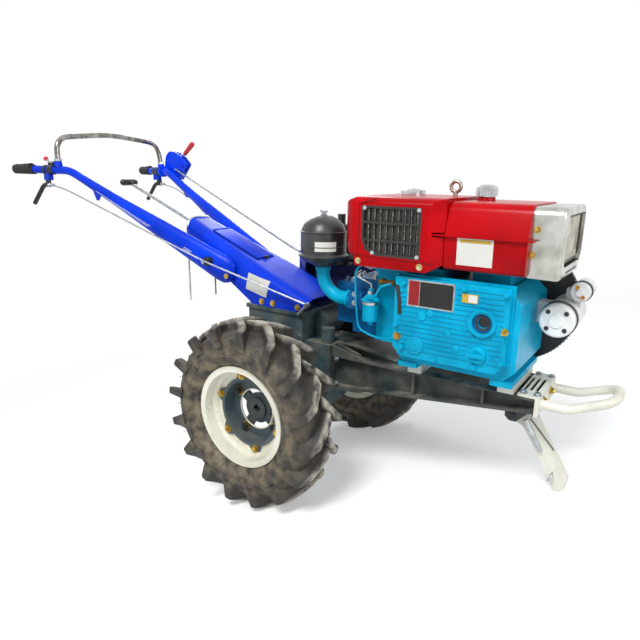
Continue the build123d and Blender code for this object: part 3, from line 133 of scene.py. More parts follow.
def tyre_rubber(light, dark, soil_amount):
    """Worn tread rubber: black, with pale grey lug tips that are partly rubbed wear and partly a painted
    highlight, and dry brown soil kept in the grooves. Its scuffs are drawn 6 mm across."""
    material, shader = new_material("worn_tyre_rubber", Roughness=0.58, Specular_IOR_Level=0.45)
    place = add_node(material, "ShaderNodeTexCoord").outputs["Object"]
    centred = add_node(material, "ShaderNodeVectorMath", {0: place, 1: AXLE},
                       operation="SUBTRACT").outputs[0]
    flat = add_node(material, "ShaderNodeVectorMath", {0: centred, 1: (1, 0, 1)},
                    operation="MULTIPLY").outputs[0]
    radius = add_node(material, "ShaderNodeVectorMath", {0: flat}, operation="LENGTH").outputs["Value"]
    groove = add_node(material, "ShaderNodeMapRange", {
        "Value": radius, "From Min": SOIL_FROM_R, "From Max": SOIL_TO_R, "To Min": 1.0,
        "To Max": 0.0}).outputs["Result"]
    # Paler lug tips: partly rubbed wear, partly a painted highlight where the tips catch the light.
    tip = add_node(material, "ShaderNodeMapRange", {
        "Value": radius, "From Min": SOIL_TO_R, "From Max": LUG_TIP_R, "To Min": 0.0,
        "To Max": 1.0}).outputs["Result"]
    rubber = overlaid(material, tip, 30, 0.3, 0.6, colour(dark), colour(light))
    soiled = overlaid(material, groove, 34, 0.36, 0.62, rubber, colour("#94866c"), 8.0, soil_amount)
    wire(material, soiled, shader, "Base Color")
    grained(material, shader, 6.0, 0.6, detail=6.0)
    return material


SOIL_FROM_R, SOIL_TO_R, LUG_TIP_R = 0.200, 0.296, 0.312
# The pale grey for the lug tips is partly rubbed wear and partly a painted highlight.
tyre_black = tyre_rubber("#b4ad9e", "#2a2826", 0.6)


def wear(node, material):
    """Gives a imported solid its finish."""
    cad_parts[node].data.materials.clear()
    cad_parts[node].data.materials.append(material)


def skinned(form, hoops, ring=False):
    """Skins hoops of equal count, and closes the ends or, in a ring, joins the last hoop to the first."""
    for low, high in zip(hoops, hoops[1:] + (hoops[:1] if ring else [])):
        for k in range(len(low)):
            m = (k + 1) % len(low)
            form.faces.new((low[k], low[m], high[m], high[k]))
    if not ring:
        form.faces.new(hoops[0][::-1])
        form.faces.new(hoops[-1])


def turned(form, base, facing, profile, sides=28, ring=False):
    """A turned shape of (height, radius) points along facing from its base; a ring closes on itself."""
    turn = Vector(facing).to_track_quat("Z", "Y").to_matrix()
    spokes = [math.tau * k / sides for k in range(sides)]
    hoops = []
    for height, radius in profile:
        hoops.append([form.verts.new(Vector(base) + turn @ Vector((
            radius * math.cos(a), radius * math.sin(a), height))) for a in spokes])
    skinned(form, hoops, ring)


def finished(name, form, material, body="chassis", slot="black_steel", place=PARKED, instead_of=()):
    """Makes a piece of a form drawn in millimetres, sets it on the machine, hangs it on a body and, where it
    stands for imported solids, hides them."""
    mesh = form
    if isinstance(form, bmesh.types.BMesh):
        bmesh.ops.recalc_face_normals(form, faces=form.faces)
        mesh = bpy.data.meshes.new(name)
        form.to_mesh(mesh)
        form.free()
    if not mesh.materials:
        mesh.materials.append(material)
    mesh.transform(place)
    mesh.shade_smooth()
    mesh.set_sharp_from_angle(angle=math.radians(32))
    piece = bpy.data.objects.new(name, mesh)
    bpy.context.scene.collection.objects.link(piece)
    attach(piece, body)
    if instead_of:
        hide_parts(*instead_of)
    return piece


def fastener_tree():
    """Nodes that set a fastener on every point: a washer, a head with its own number of sides, and a tip."""
    tree = bpy.data.node_groups.new("fasteners", "GeometryNodeTree")
    sockets = tree.interface
    sockets.new_socket("Places", in_out="INPUT", socket_type="NodeSocketGeometry")
    for label in ("Head Radius", "Head Height", "Washer Radius", "Washer Height", "Tip Radius",
                  "Tip Height"):
        sockets.new_socket(label, in_out="INPUT", socket_type="NodeSocketFloat")
    sockets.new_socket("Sides", in_out="INPUT", socket_type="NodeSocketInt")
    sockets.new_socket("Finish", in_out="INPUT", socket_type="NodeSocketMaterial")
    sockets.new_socket("Fasteners", in_out="OUTPUT", socket_type="NodeSocketGeometry")
    given = add_node(tree, "NodeGroupInput").outputs
    lift = 0.0
    parts = []
    for part, sides in (("Washer", 16), ("Head", given["Sides"]), ("Tip", 10)):
        height = given[f"{part} Height"]
        cylinder = add_node(tree, "GeometryNodeMeshCylinder", {
            "Vertices": sides, "Radius": given[f"{part} Radius"], "Depth": height}).outputs["Mesh"]
        made = add_node(tree, "FunctionNodeCompare", {
            "A": given[f"{part} Radius"], "B": 0.01}, operation="GREATER_THAN").outputs["Result"]
        solid = add_node(tree, "GeometryNodeSwitch", {"Switch": made, "True": cylinder}).outputs["Output"]
        half = add_node(tree, "ShaderNodeMath", {0: height, 1: 0.5}, operation="MULTIPLY").outputs[0]
        middle = add_node(tree, "ShaderNodeMath", {0: lift, 1: half}, operation="ADD").outputs[0]
        lift = add_node(tree, "ShaderNodeMath", {0: lift, 1: height}, operation="ADD").outputs[0]
        offset = add_node(tree, "ShaderNodeCombineXYZ", {"Z": middle}).outputs[0]
        parts.append(add_node(tree, "GeometryNodeTransform",
                              {"Geometry": solid, "Translation": offset}).outputs[0])
    joined = add_node(tree, "GeometryNodeJoinGeometry")
    for part in parts:
        tree.links.new(part, joined.inputs[0])
    facing = add_node(tree, "GeometryNodeInputNamedAttribute", {"Name": "facing"}, data_type="FLOAT_VECTOR")
    turn = add_node(tree, "FunctionNodeAlignRotationToVector", {"Vector": facing.outputs["Attribute"]},
                    axis="Z")
    placed = add_node(tree, "GeometryNodeInstanceOnPoints", {
        "Points": given["Places"], "Instance": joined.outputs[0], "Rotation": turn.outputs[0]})
    real = add_node(tree, "GeometryNodeRealizeInstances", {"Geometry": placed.outputs[0]})
    done = add_node(tree, "GeometryNodeSetMaterial",
                    {"Geometry": real.outputs[0], "Material": given["Finish"]})
    add_node(tree, "NodeGroupOutput", {"Fasteners": done.outputs[0]})
    return tree


FASTENERS = fastener_tree()


def grown(name, tree, points, facings, values):
    """Runs a node tree over placed points and returns its result as a plain mesh."""
    mesh = bpy.data.meshes.new(name + "_places")
    mesh.from_pydata([tuple(point) for point in points], [], [])
    marks = mesh.attributes.new("facing", "FLOAT_VECTOR", "POINT")
    marks.data.foreach_set("vector", [part for facing in facings for part in facing])
    holder = bpy.data.objects.new(name + "_places", mesh)
    bpy.context.scene.collection.objects.link(holder)
    modifier = holder.modifiers.new("grow", "NODES")
    modifier.node_group = tree
    for item in tree.interface.items_tree:
        if item.name in values:
            modifier[item.identifier] = values[item.name]
    evaluated = holder.evaluated_get(bpy.context.evaluated_depsgraph_get())
    result = bpy.data.meshes.new_from_object(evaluated)
    holder.modifiers.remove(modifier)
    bpy.data.objects.remove(holder)
    return result


def fastened(name, points, facings, material, head, washer=(0.0, 0.0), tip=(0.0, 0.0), sides=6, **held):
    """Screws, nuts, studs or rivets at places; head, washer and tip are (radius, height)."""
    facings = facings if isinstance(facings, list) else [facings] * len(points)
    values = {"Sides": sides, "Finish": material}
    for part, (radius, height) in (("Head", head), ("Washer", washer), ("Tip", tip)):
        values[f"{part} Radius"] = float(radius)
        values[f"{part} Height"] = float(height)
    mesh = grown(name, FASTENERS, points, facings, values)
    return finished(name, mesh, material, **held)


def on_circle(centre, radius, count, start_deg, axis="Y"):
    """Places round a circle in the machine's side view, as turning the wheel moves them."""
    places = []
    for index in range(count):
        spin = Matrix.Rotation(math.radians(start_deg + index * 360 / count), 3, axis)
        places.append(Vector(centre) + spin @ Vector((radius, 0, 0)))
    return places


HALF_TRACK = 351.0
CARCASS = (
    (57.0, 152.0), (57.0, 171.0), (66.0, 181.0), (79.0, 196.0), (85.0, 212.0), (85.6, 228.0), (83.0, 243.0),
    (76.0, 257.0), (65.0, 267.5), (40.0, 275.5), (0.0, 280.0))
LUG_STATIONS = (
    (-8.0, -50.0, 17.0, 311.2, 268.0), (20.0, -17.0, 16.5, 311.6, 268.0), (49.0, 17.0, 16.0, 309.5, 262.0),
    (62.0, 25.0, 14.5, 305.5, 254.0), (78.0, 33.0, 13.5, 301.0, 240.0), (90.0, 38.0, 13.0, 296.0, 237.0))


def lug(form, middle_y, face, turn):
    """One lug: a slanted bar from the tread's middle out over the shoulder, with softened upper edges."""
    spin = Matrix.Rotation(turn, 3, "Y")
    hoops = []
    for y, x, half, top, foot in LUG_STATIONS:
        section = ((-half - 5, foot), (-half, top - 4), (-half + 4, top), (half - 4, top), (half, top - 4),
                   (half + 5, foot))
        hoop = []
        for dx, r in section:
            corner = Vector((x + dx, face * y, math.sqrt(r * r - (x + dx) ** 2)))
            hoop.append(form.verts.new(spin @ corner + Vector((0, middle_y, 0))))
        hoops.append(hoop)
    skinned(form, hoops)


LUGS = 16
LUG_TURNS = [(face, math.radians(180 + (index + phase) * 360 / LUGS))
             for index in range(LUGS) for face, phase in ((1, 0.5), (-1, 0.0))]
LUG_END = Vector((38.0, 88.7, 270.0))
LUG_SLOT = (4.5, 1.2)
HAIR_ROOT = Vector((-8.0, 70.0, 262.0))
MOULD_HAIR = (0.9, 16.0)
SIDEWALL_RINGS = (
    ((82.0, 235.0), (85.0, 237.5), (85.0, 240.5), (82.0, 243.0)),
    ((79.0, 205.0), (85.5, 207.0), (86.3, 209.5), (84.0, 212.5)),
    ((62.0, 177.0), (66.0, 179.0), (67.0, 182.0), (63.5, 184.0)))
for side, name in ((1, "left"), (-1, "right")):
    middle = Vector((0, side * HALF_TRACK, 0))
    outline = [(face * y, r) for face, points in ((1, CARCASS), (-1, CARCASS[-2::-1])) for y, r in points]
    carcass = bmesh.new()
    turned(carcass, middle, (0, 1, 0), outline, 96, ring=True)
    for face, turn in LUG_TURNS:
        lug(carcass, side * HALF_TRACK, side * face, turn)
    finished(f"tyre_tread_{name}", carcass, tyre_black, f"wheel_{name}", "tyre", ON_AXLE, (f"tyre_{name}",))
    rings = bmesh.new()
    for profile in SIDEWALL_RINGS:
        for face in (1, -1):
            turned(rings, middle, (0, face, 0), profile, sides=88, ring=True)
    finished(f"tyre_sidewall_rings_{name}", rings, tyre_black, f"wheel_{name}", "tyre", ON_AXLE)
    slots, hairs, outward = [], [], []
    for face, turn in LUG_TURNS:
        spin = Matrix.Rotation(turn, 3, "Y")
        slots.append(spin @ Vector((LUG_END.x, side * face * LUG_END.y, LUG_END.z)) + middle)
        hairs.append(spin @ Vector((HAIR_ROOT.x, side * face * HAIR_ROOT.y, HAIR_ROOT.z)) + middle)
        outward.append((0, side * face, 0))
    fastened(f"lug_end_slots_{name}", slots, outward, tyre_black, LUG_SLOT, sides=4,
             body=f"wheel_{name}", slot="tyre", place=ON_AXLE)
    fastened(f"mould_hairs_{name}", hairs, outward, tyre_black, MOULD_HAIR, sides=5,
             body=f"wheel_{name}", slot="tyre", place=ON_AXLE)

# Rims, wheel discs and hubs
# The rims are rolled steel in pale grey paint. A pressed disc in dark grey paint is bolted on the rim's
# inner ring with zinc bolts, and four nuts clamp it to the cast hub on the axle's end.


def rust_spots(material, base, amount):
    """Thin brown rust that starts in small spots."""
    spots = noise_share(material, 9, 0.60, 0.66, 8.0)
    return overlaid(material, spots, 90, 0.45, 0.62, base, colour("#6b3a20"), amount=amount)


def dust_and_sheen_on_top(material, base, dust_and_sheen, amount, size_mm=60):
    """Dust that lies on upward faces, in patches; the blue enamel's pale blue-grey there is a painted sheen.
    """
    facing = add_node(material, "ShaderNodeSeparateXYZ", {
        "Vector": add_node(material, "ShaderNodeNewGeometry").outputs["Normal"]}).outputs["Z"]
    level = add_node(material, "ShaderNodeMapRange", {
        "Value": facing, "From Min": -0.4, "From Max": 1.0, "To Min": 0.15,
        "To Max": 1.0}).outputs["Result"]
    return overlaid(material, level, size_mm, 0.35, 0.7, base, colour(dust_and_sheen), 6.0, amount)


def enamel(name, light, dark, roughness, dust_and_sheen="#8c8574", dust_and_sheen_amount=0.1, gloss=0.0, specular=0.4,
           rust=0.0):
    """Sprayed enamel on sheet steel: an even, smooth gloss, some dust on top, on the blue enamel a painted
    sheen instead, and rust where it is old. The spray's fine ripple is drawn 1.6 mm wide."""
    material, shader = new_material(
        name, Roughness=roughness, Coat_Weight=gloss, Coat_Roughness=0.05, Specular_IOR_Level=specular)
    base = mottled(material, light, dark, 180)
    if rust:
        base = rust_spots(material, base, rust)
    wire(material, dust_and_sheen_on_top(material, base, dust_and_sheen, dust_and_sheen_amount), shader, "Base Color")
    grained(material, shader, 1.6, 0.012)
    return material


def plated(name, light, dark, roughness, grain_mm=40):
    """Bright metal plating, slightly cloudy."""
    material, shader = new_material(name, Metallic=1.0, Roughness=roughness)
    wire(material, mottled(material, light, dark, grain_mm), shader, "Base Color")
    return material


rim_paint = enamel("pale_rim_paint", "#efeddd", "#dbd9c8", 0.42, "#9a8b74", 0.3, 0.0, 0.3, 0.4)
disc_paint = enamel("dark_grey_disc_paint", "#44565e", "#33444c", 0.45, "#8d8270", 0.45, 0.0, 0.35, 0.3)
hub_paint = enamel("dark_hub_paint", "#3a4a50", "#28363b", 0.5, "#8d8270", 0.5, 0.0, 0.3, 0.2)
yellow_zinc = plated("yellow_zinc_plate", "#d0b25a", "#a98a3c", 0.34, 12)
dark_nut = enamel("black_oxide_nut", "#2a2a2c", "#1c1c1e", 0.42, dust_and_sheen_amount=0.2)

DISC_FACE = 15.0
DISC_FLOOR = -26.0
DISC_SIDES = 144
DISC_EDGE_R = 118.0
LOBE_R = 26.0
LOBE_MIDDLE_R = 111.0
DISC_PROFILE = ((9.0, 0.0), (DISC_FACE, 0.0), (DISC_FACE, 107.0), (DISC_FLOOR, 100.0), (DISC_FLOOR, 70.0),
                (-32.0, 70.0), (-32.0, 103.0), (9.0, 109.5))


def lobed(turn):
    """Radius of the disc's edge: a circle with six lobes, one round each bolt."""
    nearest = turn % math.radians(60) - math.radians(30)
    drop = LOBE_R ** 2 - (LOBE_MIDDLE_R * math.sin(nearest)) ** 2
    if drop <= 0:
        return DISC_EDGE_R
    return max(DISC_EDGE_R, LOBE_MIDDLE_R * math.cos(nearest) + math.sqrt(drop))


for side, name in ((1, "left"), (-1, "right")):
    wear(f"rim_{name}", rim_paint)
    disc = bmesh.new()
    hoops = []
    for y, radius in DISC_PROFILE:
        hoop = []
        for a in [math.tau * k / DISC_SIDES for k in range(DISC_SIDES)]:
            reach = radius or lobed(a)
            hoop.append(disc.verts.new((reach * math.cos(a), side * (HALF_TRACK + y),
                                        -reach * math.sin(a))))
        hoops.append(hoop)
    skinned(disc, hoops, ring=True)
    finished(f"lobed_disc_{name}", disc, disc_paint, f"wheel_{name}", "disc_steel", ON_AXLE,
             (f"wheel_disc_{name}",))
    wear(f"hub_{name}", hub_paint)
    hold = {"body": f"wheel_{name}", "place": ON_AXLE}
    out = (0, side, 0)
    fastened(f"rim_bolts_{name}", on_circle((0, side * (HALF_TRACK + DISC_FACE), 0), 125.0, 6, 30), out,
             yellow_zinc, (9.5, 7.0), (12.5, 2.0), (4.5, 3.0), slot="zinc", **hold)
    nuts = on_circle((0, side * (HALF_TRACK + DISC_FLOOR), 0), 86.0, 4, 45)
    fastened(f"hub_nut_cups_{name}", nuts, out, yellow_zinc, (15.0, 4.0), sides=24, slot="zinc", **hold)
    fastened(f"hub_nuts_{name}", [p + Vector((0, side * 4.0, 0)) for p in nuts], out, dark_nut,
             (11.5, 11.0), tip=(6.0, 5.0), slot="black_steel", **hold)
    welds = bmesh.new()
    middle = (0, side * HALF_TRACK, 0)
    turned(welds, middle, out, ((DISC_FLOOR - 0.2, 66.5), (DISC_FLOOR + 1.8, 67.0), (DISC_FLOOR + 2.2, 70.2),
                                (DISC_FLOOR - 0.2, 72.0)), sides=64, ring=True)
    turned(welds, middle, out, ((60.0, 166.0), (63.2, 167.0), (63.2, 170.0), (60.0, 170.6)), sides=72,
           ring=True)
    finished(f"disc_and_flange_lips_{name}", welds, rim_paint, f"wheel_{name}", "rim_steel", ON_AXLE)

# Frame, front plate and bumper
# Two pressed channel rails in dark blue-grey paint are bolted to the gearbox. A slotted plate and a bumper
# of bent tube, both in off-white paint, close their front ends.
frame_paint = enamel("blue_grey_frame_paint", "#343f3f", "#252f30", 0.42, "#b3ab98", 0.5, 0.0, 0.25, 0.15)
grey_paint = enamel("off_white_grey_paint", "#e2e1d4", "#cfcec0", 0.42, "#8e8674", 0.22, 0.0, 0.4, 0.2)
zinc = plated("zinc_plate", "#bfc3c6", "#9ea2a6", 0.3, 20)
for node in ("frame_rail_left", "frame_rail_right", "frame_end_plate", "shield_sheet", "stand_bracket"):
    wear(node, frame_paint)
wear("bumper_loop", grey_paint)


def brick(form, low, high):
    """A square block between two corners."""
    corners = [form.verts.new((x, y, z)) for x in (low[0], high[0]) for y in (low[1], high[1])
               for z in (low[2], high[2])]
    for face in ((0, 1, 3, 2), (4, 6, 7, 5), (0, 4, 5, 1), (2, 3, 7, 6), (0, 2, 6, 4), (1, 5, 7, 3)):
        form.faces.new([corners[i] for i in face])


def plate(form, corners, thickness):
    """A flat plate: the corners of its outline, and the vector of its thickness."""
    low = [form.verts.new(corner) for corner in corners]
    high = [form.verts.new(Vector(corner) + Vector(thickness)) for corner in corners]
    form.faces.new(low[::-1])
    form.faces.new(high)
    for k in range(len(low)):
        m = (k + 1) % len(low)
        form.faces.new((low[k], low[m], high[m], high[k]))


def lofted(form, rings):
    """A skin through rings of equal count, closed at both ends."""
    skinned(form, [[form.verts.new(point) for point in ring] for ring in rings])


def rounded_path(points, radius, steps=6):
    """A run of points with its corners rounded off."""
    points = [Vector(point) for point in points]
    run = [points[0]]
    for before, corner, after in zip(points, points[1:], points[2:]):
        reach = min(radius, (corner - before).length * 0.45, (after - corner).length * 0.45)
        start = corner + (before - corner).normalized() * reach
        end = corner + (after - corner).normalized() * reach
        for k in range(steps + 1):
            t = k / steps
            run.append(start * (1 - t) ** 2 + corner * 2 * t * (1 - t) + end * t ** 2)
    return run + [points[-1]]


def bar(form, points, radius, sides=10):
    """A round bar, wire or pipe along a run of points, with closed ends."""
    points = [Vector(point) for point in points]
    across = (points[1] - points[0]).orthogonal().normalized()
    spokes = [math.tau * s / sides for s in range(sides)]
    hoops = []
    for k, point in enumerate(points):
        ahead = (points[min(k + 1, len(points) - 1)] - points[max(k - 1, 0)]).normalized()
        across = (across - ahead * across.dot(ahead)).normalized()
        up = ahead.cross(across)
        hoops.append([form.verts.new(point + (across * math.cos(a) + up * math.sin(a)) * radius)
                      for a in spokes])
    skinned(form, hoops)


def prism(outline, axis, low, high):
    """A block drawn as its outline across one axis, and its two ends along it."""
    form = bmesh.new()
    order = {"X": (2, 0, 1), "Y": (0, 2, 1), "Z": (0, 1, 2)}[axis]
    points = [(a, b, low) for a, b in outline]
    thickness = Vector([(0, 0, high - low)[k] for k in order])
    plate(form, [[point[k] for k in order] for point in points], thickness)
    return form


def softened(corners, steps=6):
    """An outline with rounded corners: each corner is (x, y, radius)."""
    points = [Vector(corner[:2]) for corner in corners]
    outline = []
    for k, corner in enumerate(corners):
        before, point, after = points[k - 1], points[k], points[(k + 1) % len(points)]
        radius = corner[2] if len(corner) > 2 else 0.0
        if not radius:
            outline.append(tuple(point))
            continue
        back, ahead = (before - point).normalized(), (after - point).normalized()
        reach = radius / math.tan(back.angle(ahead) / 2)
        middle = point + (back + ahead).normalized() * (radius / math.sin(back.angle(ahead) / 2))
        first, last = point + back * reach - middle, point + ahead * reach - middle
        swing = first.angle_signed(last)
        for s in range(steps + 1):
            outline.append(tuple(middle + Matrix.Rotation(-swing * s / steps, 2) @ first))
    return outline


def carved(form, others):
    """Cuts, joins or trims a form by others, each given with its operation, and returns the mesh."""
    holders = []
    for part in [form] + [other for _, other in others]:
        bmesh.ops.recalc_face_normals(part, faces=part.faces)
        mesh = bpy.data.meshes.new("form")
        part.to_mesh(mesh)
        part.free()
        holders.append(bpy.data.objects.new("form", mesh))
        bpy.context.scene.collection.objects.link(holders[-1])
    for holder, (operation, _) in zip(holders[1:], others):
        modifier = holders[0].modifiers.new("cut", "BOOLEAN")
        modifier.operation, modifier.object, modifier.solver = operation, holder, "EXACT"
    evaluated = holders[0].evaluated_get(bpy.context.evaluated_depsgraph_get())
    mesh = bpy.data.meshes.new_from_object(evaluated)
    for holder in holders:
        bpy.data.objects.remove(holder)
    return mesh


def block(low, high):
    """A square block as a form of its own."""
    form = bmesh.new()
    brick(form, low, high)
    return form


FRONT_FACE = 834.0
ledge = prism(((776, 164), (776, 170), (834, 170), (834, 112), (824, 112), (824, 164)), "Y", -108, 108)
grating = [("DIFFERENCE", block((x - 4.5, -60, 160), (x + 4.5, 60, 174))) for x in (784, 800, 816)]
finished("slotted_front_plate", carved(ledge, grating), grey_paint, slot="grey_steel",
         instead_of=("front_plate",))
beams = bmesh.new()
for x in (462, 742):
    brick(beams, (x - 22, -112, 164), (x + 22, 112, 200))
finished("engine_beams", beams, grey_paint, slot="grey_steel", instead_of=("engine_mount_bars",))
fastened("bumper_bolts", [(FRONT_FACE, side * 46.0, 142.0) for side in (-1, 1)], (1, 0, 0), yellow_zinc,
         (9.5, 7.0), (13.0, 2.5), (5.0, 4.0), slot="zinc")
fastened("front_plate_bolts", [(x, side * 90.0, 170.0) for x in (788.0, 826.0) for side in (-1, 1)],
         (0, 0, 1), zinc, (8.0, 6.0), (11.0, 2.0), slot="zinc")
fastened("rail_bolts", [(x, side * 108.0, z) for side in (-1, 1) for x, z in (
    (172.0, 150.0), (172.0, 62.0))], [(0, side, 0) for side in (-1, 1) for _ in range(2)], zinc, (8.0, 6.0),
         (11.0, 2.0), (4.0, 3.0), slot="zinc")
fastened("end_plate_bolts", [(156.0, side * 48.0, z) for side in (-1, 1) for z in (60.0, 110.0, 160.0)],
         (1, 0, 0), zinc, (9.0, 7.0), (12.0, 2.0), slot="zinc")
feet = bmesh.new()
for side in (-1, 1):
    turned(feet, (FRONT_FACE, side * 78.0, 142.0), (1, 0, 0),
           ((0, 19.0), (3.0, 17.5), (6.0, 14.2), (6.5, 13.6)))
finished("bumper_weld_beads", feet, grey_paint, slot="grey_steel")

# Front stand
# A folded and slotted steel leg in the same off-white paint, pinned between two ears under the frame. A
# zinc-plated tension spring holds it up or down, and a wire hook is its handle.
STAND_TOE = Vector((917.5, 0, -117.6))
STAND_UP = Vector((-0.517, 0, 0.856))
STAND_OUT = Vector((0.856, 0, 0.517))
SLOT_HALF = 5.0
wear("stand_leg", grey_paint)
black_paint = enamel("black_machine_paint", "#222325", "#161719", 0.4, dust_and_sheen_amount=0.25)
# The leg's slot is a thin black sheet on its face: painted shade for the opening.
slots = bmesh.new()
low_end = STAND_TOE + STAND_UP * 96 + Vector((0, 26, 0))
high_end = STAND_TOE + STAND_UP * 222 + Vector((0, -32, 0))
tip = (high_end - low_end).normalized()
aside = tip.cross(STAND_OUT) * SLOT_HALF
plate(slots, [low_end - tip * 4, low_end + aside, high_end + aside, high_end + tip * 4, high_end - aside,
              low_end - aside], STAND_OUT * 0.5)
finished("stand_slot_painted_shade", slots, black_paint, "stand")
hook = bmesh.new()
bar(hook, ((795, -56, 74), (838, -56, 2)), 7.5, 16)
bar(hook, ((838, -56, 2), (846, -54, -12), (846, -44, -12)), 3.5)
bar(hook, rounded_path(((884, -44, -74), (884, -62, -74), (878, -70, -90)), 10), 3.5)
finished("stand_spring_and_hook", hook, zinc, "stand", "zinc")

# Gearbox, axle housings and drawbar jaws
# Sand castings of grey iron, painted dark green-grey over the pebbled skin that the sand leaves, and always
# dusty. The axle housings are flanged and bolted on both sides.


def cast_paint(name, light, dark, roughness, dust_and_sheen="#7d7360", dust_and_sheen_amount=0.25, specular=0.4, pebble_mm=0.3):
    """Paint over a sand casting: the sand's grain, drawn 3.5 mm across, makes a pebbled skin under a satin
    gloss."""
    material, shader = new_material(name, Roughness=roughness, Specular_IOR_Level=specular)
    base = mottled(material, light, dark, 70)
    wire(material, dust_and_sheen_on_top(material, base, dust_and_sheen, dust_and_sheen_amount), shader, "Base Color")
    grained(material, shader, 3.5, pebble_mm)
    return material


green_paint = cast_paint("dark_green_cast_paint", "#2e4b54", "#1f363d", 0.45, "#a79f8c", 0.6, 0.25)
for node in ("gearbox_case", "axle_housing_left", "axle_housing_right", "rear_hitch"):
    wear(node, green_paint)
flanges = [place for side in (1, -1) for place in on_circle((0, side * 108, 0), 68.0, 8, 22.5)]
fastened("axle_housing_bolts", flanges, [(0, 1, 0)] * 8 + [(0, -1, 0)] * 8, zinc, (7.0, 5.0), (9.5, 1.6),
         slot="zinc")
fastened("gearbox_side_bolts", [(x, side * 112.0, 204.0) for side in (-1, 1)
                                for x in (-190, -120, -50, 16)],
         [(0, side, 0) for side in (-1, 1) for _ in range(4)], zinc, (7.5, 6.0), (10.0, 1.8), slot="zinc")
fastened("gearbox_cover_bolts", [(-151.0, y, z) for y in (-62.0, 62.0) for z in (84.0, 174.0)], (-1, 0, 0),
         zinc, (7.5, 6.0), (10.0, 1.8), slot="zinc")
fastened("drain_plug", [(0, 0, -111.0)], (0, 0, -1), zinc, (11.0, 8.0), (15.0, 2.0), slot="zinc")

# Engine castings
# A horizontal single-cylinder diesel: crankcase, ribbed timing cover and head are iron castings under bright
# cyan-blue enamel, the head a darker blue. The cover's screws are painted with it.
engine_paint = cast_paint("cyan_engine_enamel", "#00acd4", "#0094ba", 0.3, "#6f8a90", 0.03, 0.12, 0.16)
head_paint = cast_paint("dark_blue_engine_enamel", "#0566a0", "#044c80", 0.32, "#5a6a70", 0.12, 0.2, 0.2)
for node in ("engine_block", "gear_cover", "fuel_filter"):
    wear(node, engine_paint)
wear("cylinder_head", head_paint)
COVER_FACE = -191.0
RIGHT = (0, -1, 0)
CRANK = Vector((685.0, 0.0, 377.0))
OIL_CAP_X, OIL_CAP_Z = 679, 287
bolts = [(452, 462), (630, 466), (742, 462), (746, 276), (672, 250), (557, 250), (452, 268), (432, 337)]
fastened("cover_screws", [(x, COVER_FACE, z) for x, z in bolts], RIGHT, engine_paint, (7.0, 8.0),
         (9.5, 3.5), slot="engine_blue")
fastened("cover_stud", [(746, COVER_FACE, 363)], RIGHT, yellow_zinc, (7.5, 9.0), (10.0, 2.0), (4.0, 14.0),
         slot="zinc")
brass, brass_shader = new_material("turned_brass", Metallic=1.0, Roughness=0.3)
wire(brass, mottled(brass, "#c39a4a", "#a27a32", 15), brass_shader, "Base Color")
fastened("level_plug", [(436, COVER_FACE, 299)], RIGHT, brass, (9.5, 7.0), (12.0, 2.5), (5.0, 3.0),
         slot="zinc")
bosses = bmesh.new()
for x, z, radius, height in ((510, 370, 13, 6), (533, 381, 11, 5), (492, 280, 27, 6), (492, 280, 16, 9),
                             (590, 330, 9, 4), (616, 292, 10, 4)):
    turned(bosses, (x, COVER_FACE + 1, z), RIGHT, (
        (0, radius), (height - 1.5, radius), (height, radius - 1.5), (height + 1, radius * 0.5)))
turned(bosses, (CRANK.x, COVER_FACE - 7.5, CRANK.z), RIGHT,
       ((0, 38.0), (2.5, 36.5), (2.5, 33.0), (0, 31.5)), 40, ring=True)
finished("cover_bosses", bosses, engine_paint, slot="engine_blue")
# The ring in the crank's recess is in the darker head blue: painted shade in the recess.
ring = bmesh.new()
turned(ring, (CRANK.x, COVER_FACE + 4.2, CRANK.z), RIGHT,
       ((0, 27.5), (3.5, 27.5), (3.5, 15.2), (0, 15.2)), 40, ring=True)
finished("crank_recess_shade_ring", ring, head_paint, slot="head_blue")
# A black disc at the bottom of the bore is painted shade in the hole; the black ring round it is the
# bushing.
bush_and_bore_shade = bmesh.new()
turned(bush_and_bore_shade, (CRANK.x, COVER_FACE + 12, CRANK.z), RIGHT, ((0, 13.6), (1, 13.6)), 32)
turned(bush_and_bore_shade, (CRANK.x, COVER_FACE + 3.6, CRANK.z), RIGHT,
       ((0, 21.0), (4.2, 20.4), (4.2, 15.2), (0, 15.2)), 32, ring=True)
finished("crank_bush_and_bore_shade", bush_and_bore_shade, black_paint)
cap = bmesh.new()
turned(cap, (OIL_CAP_X, COVER_FACE - 6.8, OIL_CAP_Z), RIGHT,
       ((0, 24.0), (3.0, 23.0), (5.0, 20.0), (5.2, 15.0), (4.0, 13.0)), 36)
plate(cap, [(OIL_CAP_X + x, COVER_FACE - 7, OIL_CAP_Z + z) for x, z in (
    (-21, -4), (-12, -6), (12, -6), (21, -4), (21, 4), (12, 6), (-12, 6), (-21, 4))], (0, -11, 0))
finished("oil_cap_grip", cap, engine_paint, slot="engine_blue")
# The cover's slot is a black strip standing proud of the face: painted shade for the recess.
strip = bmesh.new()
STRIP_HALF = 6
STRIP_RUN = ((428, 452), (434, 428), (438, 404), (440, 380), (440, 366))
for (x0, z0), (x1, z1) in zip(STRIP_RUN, STRIP_RUN[1:]):
    plate(strip, [(x0 - STRIP_HALF, COVER_FACE, z0), (x0 + STRIP_HALF, COVER_FACE, z0),
                  (x1 + STRIP_HALF, COVER_FACE, z1), (x1 - STRIP_HALF, COVER_FACE, z1)], (0, -3.4, 0))
finished("cover_slot_painted_shade", strip, black_paint)

